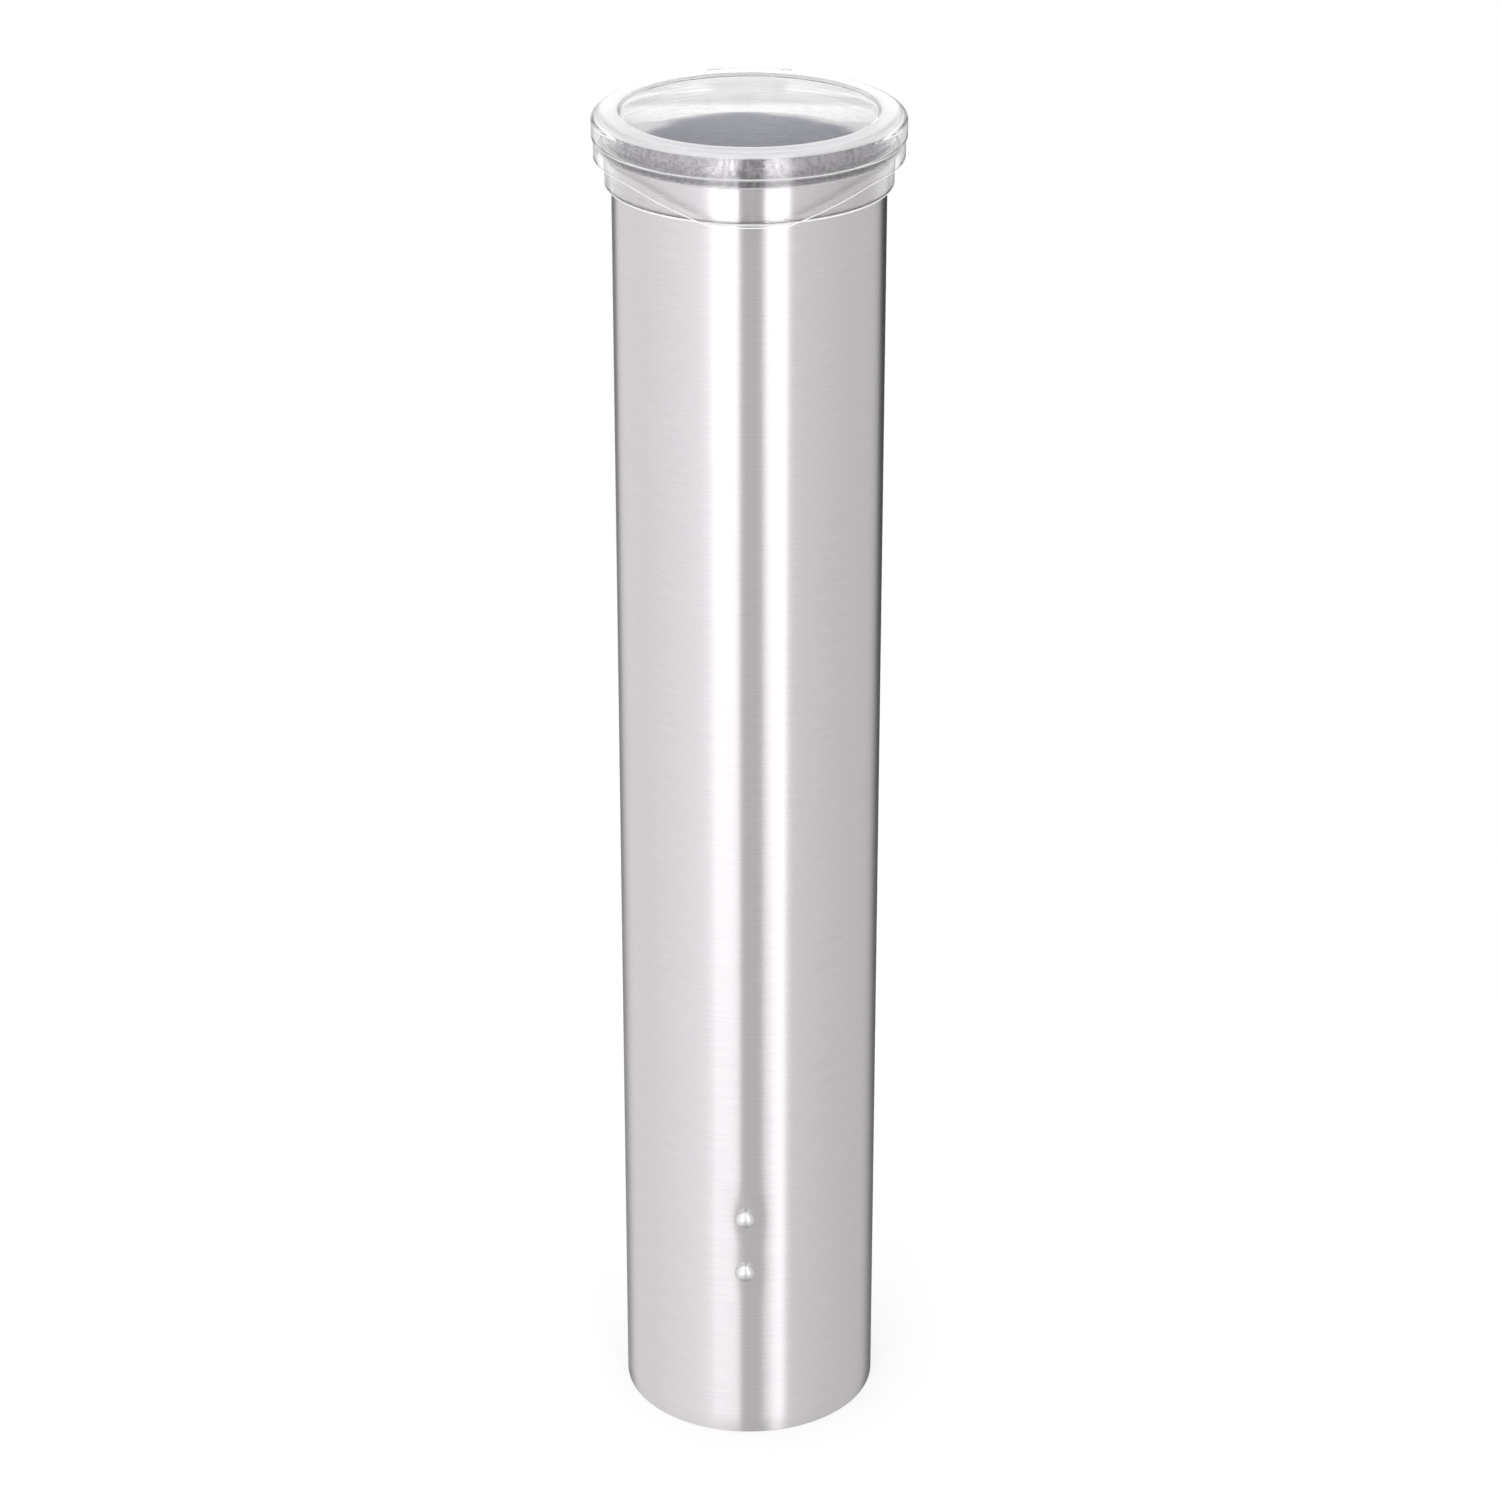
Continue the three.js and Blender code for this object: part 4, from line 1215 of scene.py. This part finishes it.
rim_round = [
    (rim_outer - RIM_ROUND_WIDTH * (1 - x), bead_top - RIM_ROUND_HEIGHT * (1 - y))
    for x, y in arc(0, 0, 1, 0, math.pi / 2, 16)
]
lid = lathe("lid_clear", rounded([
    (0, lid_under),
    (lid_inner, lid_under, LID_INNER_ROUND),
    (lid_inner, tongue_bottom),
    (apron_outer, tongue_bottom, APRON_EDGE_ROUND),
    (apron_outer, rim_bottom - RIM_STEP),
    (rim_outer, rim_bottom),
    *rim_round,
    (bead_inner, bead_top, BEAD_ROUND),
    (bead_inner - BEAD_SLOPE, disc_top),
    (0, disc_top),
]))

low = tongue_bottom - CUT_OVERRUN
beyond = rim_outer + CUT_OVERRUN
ramp_outline = rounded([
    (TONGUE_WIDTH / 2 - RAMP_WIDTH * CUT_OVERRUN / tongue_length, low),
    (beyond, low),
    (beyond, apron_bottom),
    (TONGUE_WIDTH / 2 + RAMP_WIDTH, apron_bottom, RAMP_WIDTH),
], steps=16)
line_inner = apron_outer - LINE_DEPTH
core = [(0, low), (line_inner, low), (line_inner, flange_bottom), (0, flange_bottom)]
ramps = []
for side in (-1, 1):
    ramps.append(push("ramp", FRONT, [(side * x, z) for x, z in ramp_outline], -beyond, beyond))
    line = [(side * x, z + LINE_HEIGHT) for x, z in ramp_outline]
    ramps.append(combine(
        push("mould_line", FRONT, line, -beyond, beyond), "DIFFERENCE", lathe("core", core),
    ))
trim_from = lid_inner * math.cos(APRON_BACK)
rear_trim = push("rear_trim", SIDE, rounded([
    (trim_from, low),
    (beyond, low),
    (beyond, flange_top + REAR_LIFT),
    (trim_from, flange_top + REAR_LIFT, REAR_LIFT + RIM_LIFT),
]), -beyond, beyond)
window_half = hinge_half + LID_SIDE_GAP
window = push("window", SIDE, [
    (skirt_inner, tongue_bottom), (beyond, tongue_bottom),
    (beyond, hinge_z + WINDOW_GAP), (skirt_inner, hinge_z + WINDOW_GAP),
], -window_half, window_half)
knuckle = arc(hinge_y, hinge_z, KNUCKLE_RADIUS + KNUCKLE_RELIEF, 0, 2 * math.pi, 64)[:-1]
relief_cut = push("knuckle_relief", SIDE, knuckle, -window_half, window_half)
combine(lid, "DIFFERENCE", *ramps, rear_trim, window, relief_cut)

barrel_half = ear_inner - WINDOW_GAP
heel_reach = hinge_y - neck_outer - WINDOW_GAP
barrel = push(
    "barrel", SIDE, arc(hinge_y, hinge_z, KNUCKLE_RADIUS, 0, 2 * math.pi, 64)[:-1],
    -barrel_half, barrel_half,
)
arm = push("arm", SIDE, [
    (neck_outer, lid_under + LID_THICKNESS / 2),
    (neck_outer + ARM_LEAD, lid_under),
    (hinge_y - KNUCKLE_RADIUS, hinge_z),
    (hinge_y, hinge_z),
    *arc(hinge_y, hinge_z, KNUCKLE_RADIUS, ARM_CREST, math.pi / 2, 8),
    (hinge_y - KNUCKLE_RADIUS / 2, disc_top),
    (neck_outer, disc_top),
], -barrel_half, barrel_half)
heel = push("heel", SIDE, rounded([
    (hinge_y - HEEL_THICKNESS / 2, hinge_z),
    (hinge_y - HEEL_THICKNESS / 2, hinge_z - heel_reach, HEEL_ROUND),
    (hinge_y + HEEL_THICKNESS / 2, hinge_z - heel_reach, HEEL_ROUND),
    (hinge_y + HEEL_THICKNESS / 2, hinge_z),
]), -barrel_half, barrel_half)
combine(lid, "UNION", arm, heel, barrel)
combine(lid, "DIFFERENCE", pin_bore())
smooth(lid)

# The upward faces of the rim and the bead have a satin finish, which turns them milky, and their white
# is partly painted highlight, standing in for the light that they catch from above.
satin_and_highlight_rim, tree, surface = new_material("satin_plastic_rim_painted_highlight")
where = joined(tree, *object_place(tree))
cloudy = noise(tree, where, scale=150.0, detail=4.0)
principled(
    tree, surface, Base_Color=PALE_FINISH_AND_HIGHLIGHT, Transmission_Weight=0.62, IOR=1.49,
    Roughness=calc(tree, "MULTIPLY_ADD", cloudy, SATIN_RIM_DULLING, SATIN_RIM_ROUGHNESS),
    Normal=relief(tree, cloudy, SATIN_RIM_DEPTH),
)
dress(lid, clear_plastic, "clear_plastic", "lid")
# The rim's upward faces take the satin white, partly painted highlight.
finish_faces(lid, satin_and_highlight_rim, lambda normal, radius, height: (
    normal.z > SATIN_FACING and height > rim_bottom and radius > bead_inner - BEAD_SLOPE
))
# Downward edges and the mould lines take the frosted white, partly painted highlight.
finish_faces(lid, frosted_edge_and_highlight, lambda normal, radius, height: (
    normal.z < -EDGE_FACING and height < lid_under - LID_INNER_ROUND
    or height < flange_bottom and abs(radius - line_inner) < LINE_DEPTH / 4
))
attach(lid, "flip_lid")
